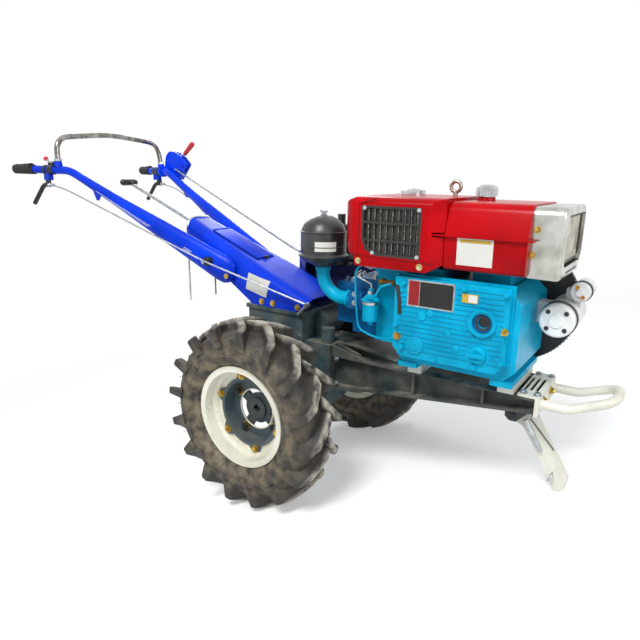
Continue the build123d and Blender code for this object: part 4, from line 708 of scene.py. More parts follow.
# Nameplate and stickers
# A thin pressed aluminium plate, held by four rivets, and vinyl stickers on the timing cover, air cleaner,
# tank and console. Their fields are printed in plain colours.
badge_black = enamel("badge_black_print", "#141416", "#101012", 0.3, dust_and_sheen_amount=0.08)
badge_red = enamel("badge_red_print", "#a01218", "#8e0c12", 0.3, dust_and_sheen_amount=0.08)
vinyl_white = enamel("white_vinyl_sticker", "#dcdcd6", "#cfcfc8", 0.4, dust_and_sheen_amount=0.12)
vinyl_yellow = enamel("yellow_vinyl_sticker", "#c9a83a", "#bd9c30", 0.4, dust_and_sheen_amount=0.12)
PLATE_LOW, PLATE_HIGH = (462.0, 395.0), (602.0, 473.0)


def field(name, low, high, face_y, proud, material, slot="black_steel"):
    """A flat field on an upright face: its lower and upper corners in the side view."""
    form = bmesh.new()
    brick(form, (low[0], face_y - proud, low[1]), (high[0], face_y + 0.5, high[1]))
    return finished(name, form, material, slot=slot)


rim_x, rim_z = PLATE_LOW[0] + 4, PLATE_LOW[1] + 4
split_x = PLATE_LOW[0] + 36
field("nameplate_sheet", PLATE_LOW, PLATE_HIGH, COVER_FACE, 1.2, zinc, "zinc")
field("nameplate_left_field", (rim_x, rim_z), (split_x, PLATE_HIGH[1] - 4), COVER_FACE, 1.7, badge_red)
field("nameplate_field", (split_x + 2, rim_z), (PLATE_HIGH[0] - 4, PLATE_HIGH[1] - 4), COVER_FACE, 1.7,
      badge_black)
rivets = [(x, COVER_FACE - 1.6, z) for x in (PLATE_LOW[0] + 3, PLATE_HIGH[0] - 3)
          for z in (PLATE_LOW[1] + 3, PLATE_HIGH[1] - 3)]
fastened("nameplate_rivets", rivets, RIGHT, zinc, (3.0, 1.6), sides=12, slot="zinc")
field("cover_sticker", (624, 428), (668, 452), COVER_FACE, 3.1, vinyl_yellow)
field("cover_sticker_field", (642, 430), (666, 450), COVER_FACE, 3.5, vinyl_white)

# Air cleaner, silencer and pipes
# The oil-bath air cleaner is drawn sheet steel in dusty black, clamped on the cast elbow and closed by a
# wing nut. The silencer is painted black. Thin steel pipes, painted with the engine, carry the fuel.
cleaner_paint = enamel("dusty_black_paint", "#2e3033", "#1b1c1e", 0.34, "#8a8a88", 0.3, 0.0, 0.45)
wear("muffler", black_paint)
wear("fuel_lines", zinc)
CLEANER = Vector((125.0, -126.0, 467.0))
ELBOW_R = 22.0
ELBOW_BEND_R = 78.0
ELBOW_Z = 372.0
UP = (0, 0, 1)
drum = bmesh.new()
turned(drum, CLEANER, UP, (
    (0, 24), (4, 34), (20, 66), (34, 80), (36, 82), (38, 82), (40, 80), (44, 74), (112, 74), (118, 72),
    (136, 64), (152, 48), (163, 26), (166, 6)), 64)
finished("oil_bath_cleaner", drum, cleaner_paint, slot="dusty_black", instead_of=("air_cleaner",))
elbow = bmesh.new()
turns = [math.radians(90 * k / 12) for k in range(13)]
bend = [(CLEANER.x + ELBOW_BEND_R * (1 - math.cos(a)), CLEANER.y,
         ELBOW_Z + ELBOW_BEND_R * (1 - math.sin(a))) for a in turns]
bar(elbow, [CLEANER + Vector((0, 0, 3))] + bend + [(240, CLEANER.y, ELBOW_Z)], ELBOW_R, 32)
finished("cast_elbow", elbow, engine_paint, slot="engine_blue", instead_of=("intake_elbow",))
bands = bmesh.new()
turned(bands, CLEANER + Vector((0, 0, 110)), UP,
       ((0, 74.2), (1.5, 76.0), (4.0, 76.0), (5.5, 73.6)), 48, ring=True)
turned(bands, CLEANER + Vector((0, 0, 66)), UP,
       ((0, 74.0), (1.2, 75.2), (3.0, 75.2), (4.2, 74.0)), 48, ring=True)
turned(bands, CLEANER + Vector((0, 0, 163.5)), UP, ((0, 16.0), (2.0, 14.0), (4.0, 8.0), (4.2, 6.0)), 24)
finished("cleaner_bands", bands, cleaner_paint, slot="dusty_black")
wing = bmesh.new()
turned(wing, CLEANER + Vector((0, 0, 166)), UP, ((0, 5.5), (8.0, 5.0), (8.0, 3.0), (13.0, 3.0)), 14)
for side in (-1, 1):
    ear = ((3, 168), (12, 172), (15, 180), (9, 181), (4, 175))
    plate(wing, [CLEANER + Vector((side * x, -1.2, z)) for x, z in ear], (0, 2.4, 0))
finished("cleaner_wing_nut", wing, zinc, slot="zinc")


def wrapped(form, centre, radius, angles_deg, low, high, proud=0.5, steps=8):
    """A thin sheet wrapped on an upright drum, between two angles and two heights."""
    start, end = angles_deg
    rims = []
    for depth in (0.3, -proud):
        for z in (low, high):
            turns = [math.radians(start + (end - start) * k / steps) for k in range(steps + 1)]
            rims.append([form.verts.new(Vector(centre) + Vector((
                (radius - depth) * math.sin(a), -(radius - depth) * math.cos(a), z))) for a in turns])
    inner_low, inner_high, outer_low, outer_high = rims
    for first, second in ((inner_low, inner_high), (inner_high, outer_high), (outer_high, outer_low),
                          (outer_low, inner_low)):
        for k in range(steps):
            form.faces.new((first[k], first[k + 1], second[k + 1], second[k]))
    for k in (0, steps):
        form.faces.new((inner_low[k], inner_high[k], outer_high[k], outer_low[k]))


sticker = bmesh.new()
wrapped(sticker, CLEANER, 74.0, (12, 66), 56.0, 86.0)
finished("cleaner_sticker", sticker, vinyl_white)
clamps = bmesh.new()
turned(clamps, (125, -126, 456), UP, ((0, 22.0), (0, 25.0), (9, 25.0), (9, 22.0)), 32, ring=True)
turned(clamps, (224, -126, 372), (1, 0, 0), ((0, 22.0), (0, 28.0), (9, 28.0), (9, 22.0)), 32, ring=True)
finished("elbow_clamps", clamps, engine_paint, slot="engine_blue")
fastened("head_nuts", [(x, y, 440.0) for x in (248, 304) for y in (-92, 86)], UP, zinc, (9.0, 8.0),
         (12.0, 2.0), (5.0, 6.0), slot="zinc")
fastened("rocker_nuts", [(182, y, 418.0) for y in (-60, 50)], UP, zinc, (7.0, 6.0), (10.0, 2.0), (4.0, 5.0),
         slot="zinc")
fastened("head_flange_nuts", [(262, -150, z) for z in (366, 394)], RIGHT, zinc, (6.5, 5.5), (9.0, 1.6),
         slot="zinc")
pipes = bmesh.new()
bar(pipes, rounded_path(((300, -158, 500), (268, -160, 474), (272, -160, 380), (285, -162, 288),
                         (343, -164, 272), (400, -166, 272), (430, -166, 300)), 22), 3.2)
bar(pipes, rounded_path(((322, -178, 392), (350, -184, 400), (372, -186, 440), (400, -176, 448)), 16), 3.4)
finished("fuel_pipes", pipes, engine_paint, slot="engine_blue")
union = bmesh.new()
turned(union, (346, -150, 446), (1, 0, 0),
       ((0, 6.0), (8, 6.0), (8, 11.0), (20, 11.0), (20, 8.0), (54, 8.0)), 6)
finished("fuel_union", union, brass, slot="zinc")
filter_band = bmesh.new()
turned(filter_band, (322, -152, 372), UP,
       ((0, 26.2), (1.0, 28.0), (9.0, 28.0), (10.0, 26.2)), 32, ring=True)
turned(filter_band, (322, -152, 404), UP,
       ((0, 8.2), (0, 12.0), (9.0, 12.0), (9.0, 8.2)), 6, ring=True)
finished("filter_bands", filter_band, zinc, slot="zinc")

# Flywheel, belts, guard and starter
# The flywheel is cast iron painted black, with a steel ring gear shrunk on. Three rubber belts run back to
# the clutch pulley under a guard of navy sheet. The starter is silver-painted, with its solenoid above.
belt_rubber = enamel("belt_rubber", "#1f1f1f", "#151515", 0.7, dust_and_sheen_amount=0.3, specular=0.3)
navy_paint = enamel("navy_guard_paint", "#27336e", "#1c2654", 0.38, dust_and_sheen_amount=0.2)
silver_paint = enamel("silver_starter_paint", "#eeeeec", "#bfc1c1", 0.3, dust_and_sheen_amount=0.1, specular=0.5)
for node in ("flywheel", "clutch_pulley"):
    wear(node, black_paint)
wear("belts", belt_rubber)
wear("belt_guard", navy_paint)
teeth = on_circle(CRANK + Vector((0, 138.0, 0)), 183.5, 96, 0)
fastened("ring_gear_teeth", teeth, [tuple((p - CRANK - Vector((0, 138.0, 0))).normalized()) for p in teeth],
         zinc, (4.4, 5.0), sides=4, body="flywheel", slot="black_steel")
fastened("flywheel_screws", on_circle(CRANK + Vector((0, 174.0, 0)), 110.0, 6, 0), (0, 1, 0), zinc,
         (9.0, 7.0), (12.0, 2.0), body="flywheel", slot="zinc")
fastened("clutch_pulley_nut", [(14, 246, 232)], (0, 1, 0), zinc, (15.0, 0.6), sides=6, body="clutch_pulley",
         slot="zinc")
STARTER = Vector((845.0, -62.0, 382.0))
STARTER_R = 47.0
SOLENOID = Vector((886.0, -6.0, 457.0))
SOLENOID_R = 27.0
motor = bmesh.new()
turned(motor, STARTER, (0, 1, 0), ((0, 43.0), (3, STARTER_R), (176, STARTER_R), (180, 43.0)), 48)
turned(motor, SOLENOID, (0, 1, 0), ((0, 25.0), (2, SOLENOID_R), (96, SOLENOID_R), (98, 25.0)), 36)
brick(motor, (STARTER.x, 30, STARTER.z), (SOLENOID.x, 60, SOLENOID.z))
brick(motor, (770, 20, 352), (STARTER.x, 70, 412))
finished("starter_and_solenoid", motor, silver_paint, slot="starter_grey", instead_of=("starter_motor",))
nose = bmesh.new()
turned(nose, STARTER, RIGHT, ((0, 44.0), (3.0, 42.0), (3.5, 20.0), (8.0, 18.0), (9.0, 8.0), (9.5, 3.0)), 40)
turned(nose, SOLENOID, RIGHT, ((0, 25.0), (4.0, 23.0), (4.5, 12.0), (11.0, 10.0), (11.5, 4.0)), 32)
finished("starter_end_caps", nose, silver_paint, slot="starter_grey")
fastened("starter_screws", on_circle(STARTER + Vector((0, -3.0, 0)), 33.0, 4, 45), RIGHT, dark_nut,
         (4.5, 4.0), (6.5, 1.0), slot="black_steel")
fastened("solenoid_posts", [SOLENOID + Vector((side * 8, -5, side * -13)) for side in (-1, 1)], RIGHT,
         brass, (4.5, 4.0), (6.0, 1.5), (2.6, 7.0), slot="zinc")
strap = bmesh.new()
turned(strap, STARTER + Vector((0, 22, 0)), (0, 1, 0),
       ((0, 47.3), (0, 50.0), (16, 50.0), (16, 47.3)), 40, ring=True)
turned(strap, SOLENOID + Vector((0, 14, 0)), (0, 1, 0),
       ((0, 27.2), (0, 29.5), (14, 29.5), (14, 27.2)), 32, ring=True)
finished("starter_strap", strap, black_paint)

# Bonnet and grille
# Pressed steel sheet in deep red enamel over the radiator, folded in a round duct at the rear. The grille is
# a black frame before the radiator's fins, held by four screws.
pale_zinc = plated("pale_yellow_zinc", "#d9cfa6", "#b8a670", 0.32, 10)
red_enamel = enamel("deep_red_enamel", "#b4000c", "#8e0006", 0.24, "#8c8574", 0.01, 0.0, 0.12)
fin_silver = enamel("silver_fin_paint", "#b9bcbe", "#a4a8ab", 0.35, dust_and_sheen_amount=0.15)
core_fins, core_shader = new_material("radiator_core_fins", Roughness=0.5)
wire(core_fins, mottled(core_fins, "#8d8a78", "#1e1d19", 5), core_shader, "Base Color")
seam_dark = enamel("shadowed_seam", "#2a0508", "#200406", 0.6, dust_and_sheen_amount=0.0, specular=0.2)
wear("grille", black_paint)
HOOD_FACE = -212.0


def flange_cuts(x0, x1):
    """Cuts that let the tank's flange into the sheet beside it, on both sides."""
    return [("DIFFERENCE", block((x0, y0, 598), (x1, y1, 610))) for y0, y1 in ((-236, -182), (108, 162))]


plan = softened(((238, 122), (238, -212, 62), (520, -212, 16), (562, -191, 6), (562, 122)), 10)
side_view = softened(((293, 498), (289, 526, 10), (264, 538, 14), (252, 588, 30), (238, 660, 8),
                      (254, 682, 16), (296, 700, 20), (562, 700), (562, 523), (520, 498, 14)))
cross = softened(((-212, 498), (122, 498), (122, 700, 30), (-212, 700, 30)), 8)
pocket = prism(((314, 674), (314, 578), (328, 546), (360, 532), (500, 532), (500, 674)), "Y", -220, -198)
bonnet = carved(prism(plan, "Z", 498, 700), [
    ("INTERSECT", prism(side_view, "Y", -220, 130)), ("INTERSECT", prism(cross, "X", 230, 570)),
    ("DIFFERENCE", pocket)] + flange_cuts(530, 564))
finished("bonnet_sheet", bonnet, red_enamel, slot="hood_red", instead_of=("radiator_hood",))


def bar_tree():
    """Nodes that set a square bar on every point: its width, depth and length."""
    tree = bpy.data.node_groups.new("square_bars", "GeometryNodeTree")
    sockets = tree.interface
    sockets.new_socket("Places", in_out="INPUT", socket_type="NodeSocketGeometry")
    sockets.new_socket("Size", in_out="INPUT", socket_type="NodeSocketVector")
    sockets.new_socket("Finish", in_out="INPUT", socket_type="NodeSocketMaterial")
    sockets.new_socket("Bars", in_out="OUTPUT", socket_type="NodeSocketGeometry")
    given = add_node(tree, "NodeGroupInput").outputs
    solid = add_node(tree, "GeometryNodeMeshCube", {"Size": given["Size"]}).outputs["Mesh"]
    placed = add_node(tree, "GeometryNodeInstanceOnPoints", {"Points": given["Places"], "Instance": solid})
    real = add_node(tree, "GeometryNodeRealizeInstances", {"Geometry": placed.outputs[0]})
    done = add_node(tree, "GeometryNodeSetMaterial",
                    {"Geometry": real.outputs[0], "Material": given["Finish"]})
    add_node(tree, "NodeGroupOutput", {"Bars": done.outputs[0]})
    return tree


BARS = bar_tree()


def barred(name, points, size, material, **held):
    """Square bars of one size at places."""
    mesh = grown(name, BARS, points, [UP] * len(points), {"Size": size, "Finish": material})
    return finished(name, mesh, material, **held)


barred("grille_fins", [(336 + k * 19.0, HOOD_FACE + 3.9, 603) for k in range(9)], (2.4, 1.0, 128.0),
       core_fins, slot="zinc")
barred("grille_rails", [(407, HOOD_FACE + 1.0, z) for z in (628, 576)], (176.0, 3.0, 6.0), black_paint)
fastened("grille_screws", [(x, HOOD_FACE, z) for x, z in ((323, 667), (492, 667), (492, 539), (352, 540))],
         RIGHT, fin_silver, (3.6, 2.2), (6.0, 0.8), sides=14, slot="zinc")
seams = bmesh.new()
for line in (((361, 694), (306, 677), (304, 520)), ((283, 529), (540, 524))):
    for (x0, z0), (x1, z1) in zip(line, line[1:]):
        bar(seams, ((x0, HOOD_FACE, z0), (x1, HOOD_FACE, z1)), 0.9, 6)
finished("bonnet_seams", seams, seam_dark, slot="hood_red")
fastened("bonnet_screws", [(x, HOOD_FACE, 513) for x in (306, 502)], RIGHT, pale_zinc, (6.0, 4.0),
         (9.5, 1.6), slot="zinc")

# Tank, caps and lifting eye
# Two pressed halves of the same red steel, welded at a flange half way up. Both caps are chromed, the tank's
# with finger lobes, and the eye is forged steel screwed into the engine below.
chrome = plated("chrome_plate", "#d6d8da", "#b4b6b8", 0.1)
# The arch's chrome is drawn dark and mottled: painted dark reflections.
reflection_darkened_chrome = plated("reflection_darkened_chrome_tube", "#a8a49e", "#6e6963", 0.16, 24)
brushed = plated("polished_lamp_shell", "#d2d2cc", "#9c9c94", 0.2, 70)
eye_steel = plated("weathered_forged_steel", "#b5aea0", "#8a7f70", 0.4, 10)
section = ((-192, 512, 10), (-196, 604, 4), (-170, 692, 32), (96, 692, 32), (122, 604, 4), (118, 512, 10))
body = prism(softened(section), "X", 563, 780)
for y0, y1 in ((-205, -183), (109, 131)):
    brick(body, (532, y0, 602), (797, y1, 606))
TANK_CAP, RADIATOR_CAP = Vector((605, 0, 702)), Vector((374, 0, 700))
TANK_CAP_R, RADIATOR_CAP_R = 28.0, 39.0
turned(body, TANK_CAP - Vector((0, 0, 12)), UP, ((0, 27.0), (13, 24.0)), 40)
finished("tank_shell", body, red_enamel, slot="hood_red", instead_of=("fuel_tank",))
caps = bmesh.new()
turned(caps, TANK_CAP, UP, ((0, TANK_CAP_R), (28, TANK_CAP_R)), 44)
turned(caps, RADIATOR_CAP, UP, ((0, RADIATOR_CAP_R), (14, RADIATOR_CAP_R)), 44)
finished("screw_caps", caps, chrome, slot="chrome", instead_of=("filler_caps",))
wear("lifting_eye", eye_steel)
fastened("tank_cap_lobes", on_circle(TANK_CAP + Vector((0, 0, 3)), 27.0, 10, 0, "Z"), UP, chrome,
         (5.0, 21.0), sides=14, slot="chrome")
crowns = bmesh.new()
turned(crowns, TANK_CAP + Vector((0, 0, 27.5)), UP,
       ((0, TANK_CAP_R), (4.0, 25.0), (6.5, 15.0), (7.5, 1.0)), 40)
turned(crowns, RADIATOR_CAP + Vector((0, 0, 13.5)), UP,
       ((0, RADIATOR_CAP_R), (1.5, 36.0), (1.5, 24.0), (4.0, 21.0), (4.5, 8.0), (6.5, 6.0)), 40)
finished("cap_crowns", crowns, chrome, slot="chrome")


def on_tank_side(name, low, high, proud, material):
    """A thin field on the leaning lower half of the tank's right side, between two corners."""
    form = bmesh.new()
    corners = ((low[0], low[1]), (high[0], low[1]), (high[0], high[1]), (low[0], high[1]))
    plate(form, [(x, -192.0 - 4.0 * (z - 512) / 92 - proud, z) for x, z in corners], (0, 0.9, 0))
    finished(name, form, material)


on_tank_side("tank_sticker", (599, 528), (696, 600), 0.6, vinyl_white)
on_tank_side("tank_sticker_band", (607, 589), (689, 597), 1.0, vinyl_yellow)
beads = bmesh.new()
for x in (566.0, 776.0):
    bar(beads, ((x, -192.4, 516), (x, -196.4, 600)), 1.2, 8)
finished("tank_end_beads", beads, red_enamel, slot="hood_red")

# Lamp housing
# A chromed steel shell closes the tank's front. The lamp is a pressed reflector behind ribbed glass, in a
# black rubber surround.


def lamp_section(inset):
    """Outline of the lamp housing across the machine, drawn in by an inset."""
    low, high, right, left = 506 + inset, 688 - inset, -168 + inset, 108 - inset
    return softened(((right, low, 6), (left - 36, low), (left, low + 36), (left, high, 26),
                     (right, high, 26)), 6)


shell = bmesh.new()
lofted(shell, [[(x, y, z) for y, z in lamp_section(inset)] for x, inset in (
    (780, 0), (850, 0), (854, 1.2), (856.8, 3.6), (858, 7))])
opening = ((-134, 536, 16), (72, 536, 16), (94, 560, 10), (94, 668, 14), (-134, 668, 14))
recess = prism(softened(opening), "X", 824, 870)
finished("lamp_shell", carved(shell, [("DIFFERENCE", recess)] + flange_cuts(770, 798)), brushed,
         slot="chrome", instead_of=("lamp_housing",))
lamp_glass, lamp_shader = new_material("ribbed_lamp_glass", Roughness=0.14, Metallic=0.2, Coat_Weight=0.5)
wire(lamp_glass, mottled(lamp_glass, "#dcd8c8", "#a9a596", 40), lamp_shader, "Base Color")
finished("lamp_unit", block((822, -128, 542), (846, 88, 662)), lamp_glass, slot="lamp_glass",
         instead_of=("lamp_lens",))
LAMP_FACE = 858.0
barred("lamp_glass_ribs", [(846.2, -121 + k * 10.6, 602) for k in range(20)], (1.6, 4.0, 112.0), lamp_glass,
       slot="lamp_glass")
surround = bmesh.new()
low, high = Vector((842, -130.0, 540.0)), Vector((849, 90.0, 664.0))
LIP = 4.5
for y0, y1, z0, z1 in ((low.y, high.y, low.z, low.z + LIP), (low.y, high.y, high.z - LIP, high.z),
                       (low.y, low.y + LIP, low.z, high.z), (high.y - LIP, high.y, low.z, high.z)):
    brick(surround, (low.x, y0, z0), (high.x, y1, z1))
finished("lamp_surround", surround, black_paint)
# The vent is a thin black strip on the shell's face: painted shade for the opening.
vent = bmesh.new()
brick(vent, (LAMP_FACE - 0.4, -96, 517), (LAMP_FACE + 0.5, 40, 523))
finished("lamp_vent_painted_shade", vent, black_paint)
fastened("lamp_side_screws", [(793, -168, 632), (786, -168, 568)], RIGHT, yellow_zinc, (5.5, 4.0),
         (9.0, 1.4), slot="zinc")

# Console and tool lid
# Folded and welded steel sheet in royal blue enamel, bolted on the gearbox. Its lid lies on a black rubber
# seal, with a spring latch in front and a hinge behind.
# Its pale blue-grey top colour, given where dust goes, is a painted sheen on upward faces.
blue_enamel = enamel("royal_blue_enamel", "#003ee4", "#002cb4", 0.3, "#b8c0d8", 0.01, 0.0, 0.14)
seal_rubber, seal_shader = new_material("seal_rubber", Roughness=0.7, Specular_IOR_Level=0.3)
wire(seal_rubber, mottled(seal_rubber, "#151515", "#0d0d0d", 20), seal_shader, "Base Color")
CONSOLE_REAR, CONSOLE_SHOULDER, CONSOLE_NOSE = -572, -150, 52
CONSOLE_HALF, CONSOLE_END_HALF = 118.0, 72.0
CONSOLE_SLOPE = -0.394231


def console_z(x):
    """Height of the console's sloping top."""
    return 583.0 + (x - CONSOLE_REAR) * CONSOLE_SLOPE


def console_rings(wall):
    """Outlines of the console at its rear end, shoulder and nose, drawn in by its wall."""
    rings = []
    for x, half in ((CONSOLE_REAR + wall, CONSOLE_END_HALF), (CONSOLE_SHOULDER, CONSOLE_HALF),
                    (CONSOLE_NOSE, CONSOLE_HALF)):
        top, half = console_z(x) - wall, half - wall
        outline = softened(((-half, top - 337), (half, top - 337), (half, top, 44 - wall),
                            (-half, top, 44 - wall)), 8)
        rings.append([(x, y, z) for y, z in outline])
    return rings


CONSOLE_WALL = 3.0
LID_REAR, LID_FRONT, LID_HALF = -446.0, -224.0, 48.0
outer, inner = bmesh.new(), bmesh.new()
lofted(outer, console_rings(0.0))
end_ring, shoulder_ring, nose_ring = console_rings(CONSOLE_WALL)
lofted(inner, [end_ring, shoulder_ring, [(CONSOLE_NOSE + 1, y, z) for _, y, z in nose_ring]])
profile = ((CONSOLE_REAR, 640), (CONSOLE_NOSE, 640), (CONSOLE_NOSE, 317), (32, 292), (-196, 292),
           (-342, 372), (CONSOLE_REAR, 500))
well = [(x, console_z(x) + dz) for x, dz in (
    (LID_REAR + 10, 60), (LID_REAR + 10, -62), (LID_FRONT - 10, -62), (LID_FRONT - 10, 60))]
tray = [(x + dx, z - dz) for (x, z), dx, dz in zip(well, (-3, -3, 3, 3), (62, 3, 3, 62))]
hollow = carved(outer, [("INTERSECT", prism(profile, "Y", -130, 130)), ("DIFFERENCE", inner)])
console_form = bmesh.new()
console_form.from_mesh(hollow)
console_shell = carved(console_form, [("UNION", prism(tray, "Y", -41, 41)),
                                      ("DIFFERENCE", prism(well, "Y", -38, 38))])
console_piece = finished("console_sheet", console_shell, blue_enamel, slot="handle_blue",
                         instead_of=("console",))
LID_MIDDLE = (LID_REAR + LID_FRONT) / 2
lid_plan = softened(((LID_REAR, -LID_HALF, 9), (LID_FRONT, -LID_HALF, 9), (LID_FRONT, LID_HALF, 9),
                     (LID_REAR, LID_HALF, 9)))
lid = bmesh.new()
lofted(lid, [[(x + dx * math.copysign(1, LID_MIDDLE - x), y - dx * math.copysign(1, y), console_z(x) + lift)
              for x, y in lid_plan] for lift, dx in ((0.4, 0), (6.6, 0), (8.0, 1.4))])
turned(lid, (-448, -39, 540.8), (0, 1, 0), ((0, 5.0), (78, 5.0)), 20)
finished("lid_sheet", lid, blue_enamel, body="lid", slot="handle_blue", instead_of=("toolbox_lid",))


def sloped(form, x0, x1, y0, y1, thickness):
    """A slab that lies along the console's slope, sunk a little in it."""
    plate(form, [(x, y, console_z(x) - 0.4) for x, y in ((x0, y0), (x1, y0), (x1, y1), (x0, y1))],
          (0, 0, thickness))


seal = bmesh.new()
SEAL_REAR, SEAL_FRONT, SEAL_WIDTH = -447.0, -222.4, 10.6
for side in (-1, 1):
    sloped(seal, SEAL_REAR, SEAL_FRONT, side * 39.0, side * 49.8, 3.2)
for x0, x1 in ((SEAL_REAR, -437), (SEAL_FRONT - SEAL_WIDTH, SEAL_FRONT)):
    sloped(seal, x0, x1, -46.0, 46.0, 0.65)
finished("lid_seal", seal, seal_rubber, slot="rubber_black")
latch = bmesh.new()
brick(latch, (-223.0, -9, console_z(-220) - 2), (-217, 9, console_z(-220) + 9))
bar(latch, ((-220, -13, console_z(-220) + 8.5), (-220, 13, console_z(-220) + 8.5)), 3.0)
finished("lid_latch", latch, black_paint)
hinges = bmesh.new()
for y in (-30.0, 30.0):
    brick(hinges, (-468, y - 8, console_z(-468) - 1), (-454, y + 8, console_z(-454) + 3.0))
finished("lid_hinge_leaves", hinges, black_paint)
band = bmesh.new()
brick(band, (-574.0, -70, 500.5), (-571.8, 70, 546))
finished("console_end_plate", band, black_paint)
gate = bmesh.new()
brick(gate, (-576.0, -62, 556), (-571.8, 62, 574))
rear_ring = [Vector(point) for point in console_rings(-0.5)[0]]
bar(gate, rounded_path([point + Vector((4, 0, 0)) for point in rear_ring[1:] + rear_ring[:1]], 4, 2), 4.0)
finished("console_end_band", gate, chrome, slot="chrome")
fastened("console_side_bolts", [(x, side * CONSOLE_HALF, 308.0) for side in (-1, 1)
                                for x in (-146, -95, 15)],
         [(0, side, 0) for side in (-1, 1) for _ in range(3)], yellow_zinc, (8.0, 6.0), (11.5, 2.0),
         slot="zinc")
fastened("console_end_screws", [(-574.0, y, 508.0) for y in (-60, 60)], (-1, 0, 0), zinc, (4.0, 2.5),
         (6.5, 1.0), sides=14, slot="zinc")


def surface_of(solid):
    """A piece's surface, to lay thin things on."""
    points = [solid.matrix_world @ vertex.co for vertex in solid.data.vertices]
    return BVHTree.FromPolygons(points, [tuple(face.vertices) for face in solid.data.polygons])


def laid(form, surface, corners, inward, proud=0.6, along=10, over=6):
    """A thin sheet laid on a solid: its four corners in front of the surface, and the way to the surface."""
    turn = PARKED.to_3x3().normalized()
    a, b, c, d = [Vector(corner) for corner in corners]
    rows = []
    for i in range(along + 1):
        row = []
        for j in range(over + 1):
            s, t = i / along, j / over
            point = (a * (1 - s) + b * s) * (1 - t) + (d * (1 - s) + c * s) * t
            hit = surface.ray_cast(PARKED @ point, turn @ Vector(inward))[0]
            spot = PARKED.inverted() @ hit
            row.append([form.verts.new(spot - Vector(inward) * lift) for lift in (proud, -0.3)])
        rows.append(row)
    for i in range(along):
        for j in range(over):
            for side in (0, 1):
                ring = [rows[i][j][side], rows[i + 1][j][side], rows[i + 1][j + 1][side],
                        rows[i][j + 1][side]]
                form.faces.new(ring if side else ring[::-1])
    for i in range(along):
        for j in (0, over):
            form.faces.new((rows[i][j][0], rows[i + 1][j][0], rows[i + 1][j][1], rows[i][j][1]))
    for j in range(over):
        for i in (0, along):
            form.faces.new((rows[i][j][0], rows[i][j + 1][0], rows[i][j + 1][1], rows[i][j][1]))


console_skin = surface_of(console_piece)
console_sticker = bmesh.new()
laid(console_sticker, console_skin, ((-230, -160, 344), (-126, -160, 324), (-112, -160, 384),
                                     (-214, -160, 406)), (0, 1, 0))
finished("console_sticker", console_sticker, vinyl_white)

# Handles, grips and arch
# Pressed steel tubes in the same blue, deep at the root and round at the grips, with thin white lines on
# their sides. A chromed tube joins them, seated in blue collars, and the grips are moulded black rubber.
pinstripe = enamel("white_pinstripe", "#e2e2de", "#d6d6d0", 0.35, dust_and_sheen_amount=0.05)
grip_rubber, grip_shader = new_material("moulded_grip_rubber", Roughness=0.5, Specular_IOR_Level=0.4)
wire(grip_rubber, mottled(grip_rubber, "#1b1b1c", "#101011", 20), grip_shader, "Base Color")
ROOT, BEND, END = Vector((-322, 118, 405)), Vector((-1050, 256, 759)), Vector((-1322, 326, 763))
TUBE_R = 16.0
GRIP_R = 18.6
RIB_R = 20.2
ARCH_BACK = 225
TAPER = ((-0.055, 19.8, 10.0), (-0.045, 36.9, 17.0), (-0.02, 48.9, 23.0), (0.02, 52.0, 25.0),
         (0.15, 46.8, 25.0), (0.4, 37.4, 22.0), (0.75, 21.8, 18.0))


def on_handle(share, side):
    """A point on the handle's middle line, from its root to its bend."""
    point = ROOT.lerp(BEND, share)
    return Vector((point.x, side * point.y, point.z))


def on_grip(back, side):
    """A point on the handle's last run, at a distance from its end."""
    point = END + (BEND - END).normalized() * back
    return Vector((point.x, side * point.y, point.z))


def tapered(form, stations, sides=28):
    """A tube of changing size: each station is its middle, and its half height and half width."""
    spokes = [math.tau * s / sides for s in range(sides)]
    hoops = []
    for k, (middle, tall, wide) in enumerate(stations):
        ahead = (stations[min(k + 1, len(stations) - 1)][0] - stations[max(k - 1, 0)][0]).normalized()
        up = (Vector(UP) - ahead * ahead.z).normalized()
        aside = ahead.cross(up)
        hoops.append([middle + up * tall * math.cos(a) + aside * wide * math.sin(a) for a in spokes])
    lofted(form, hoops)


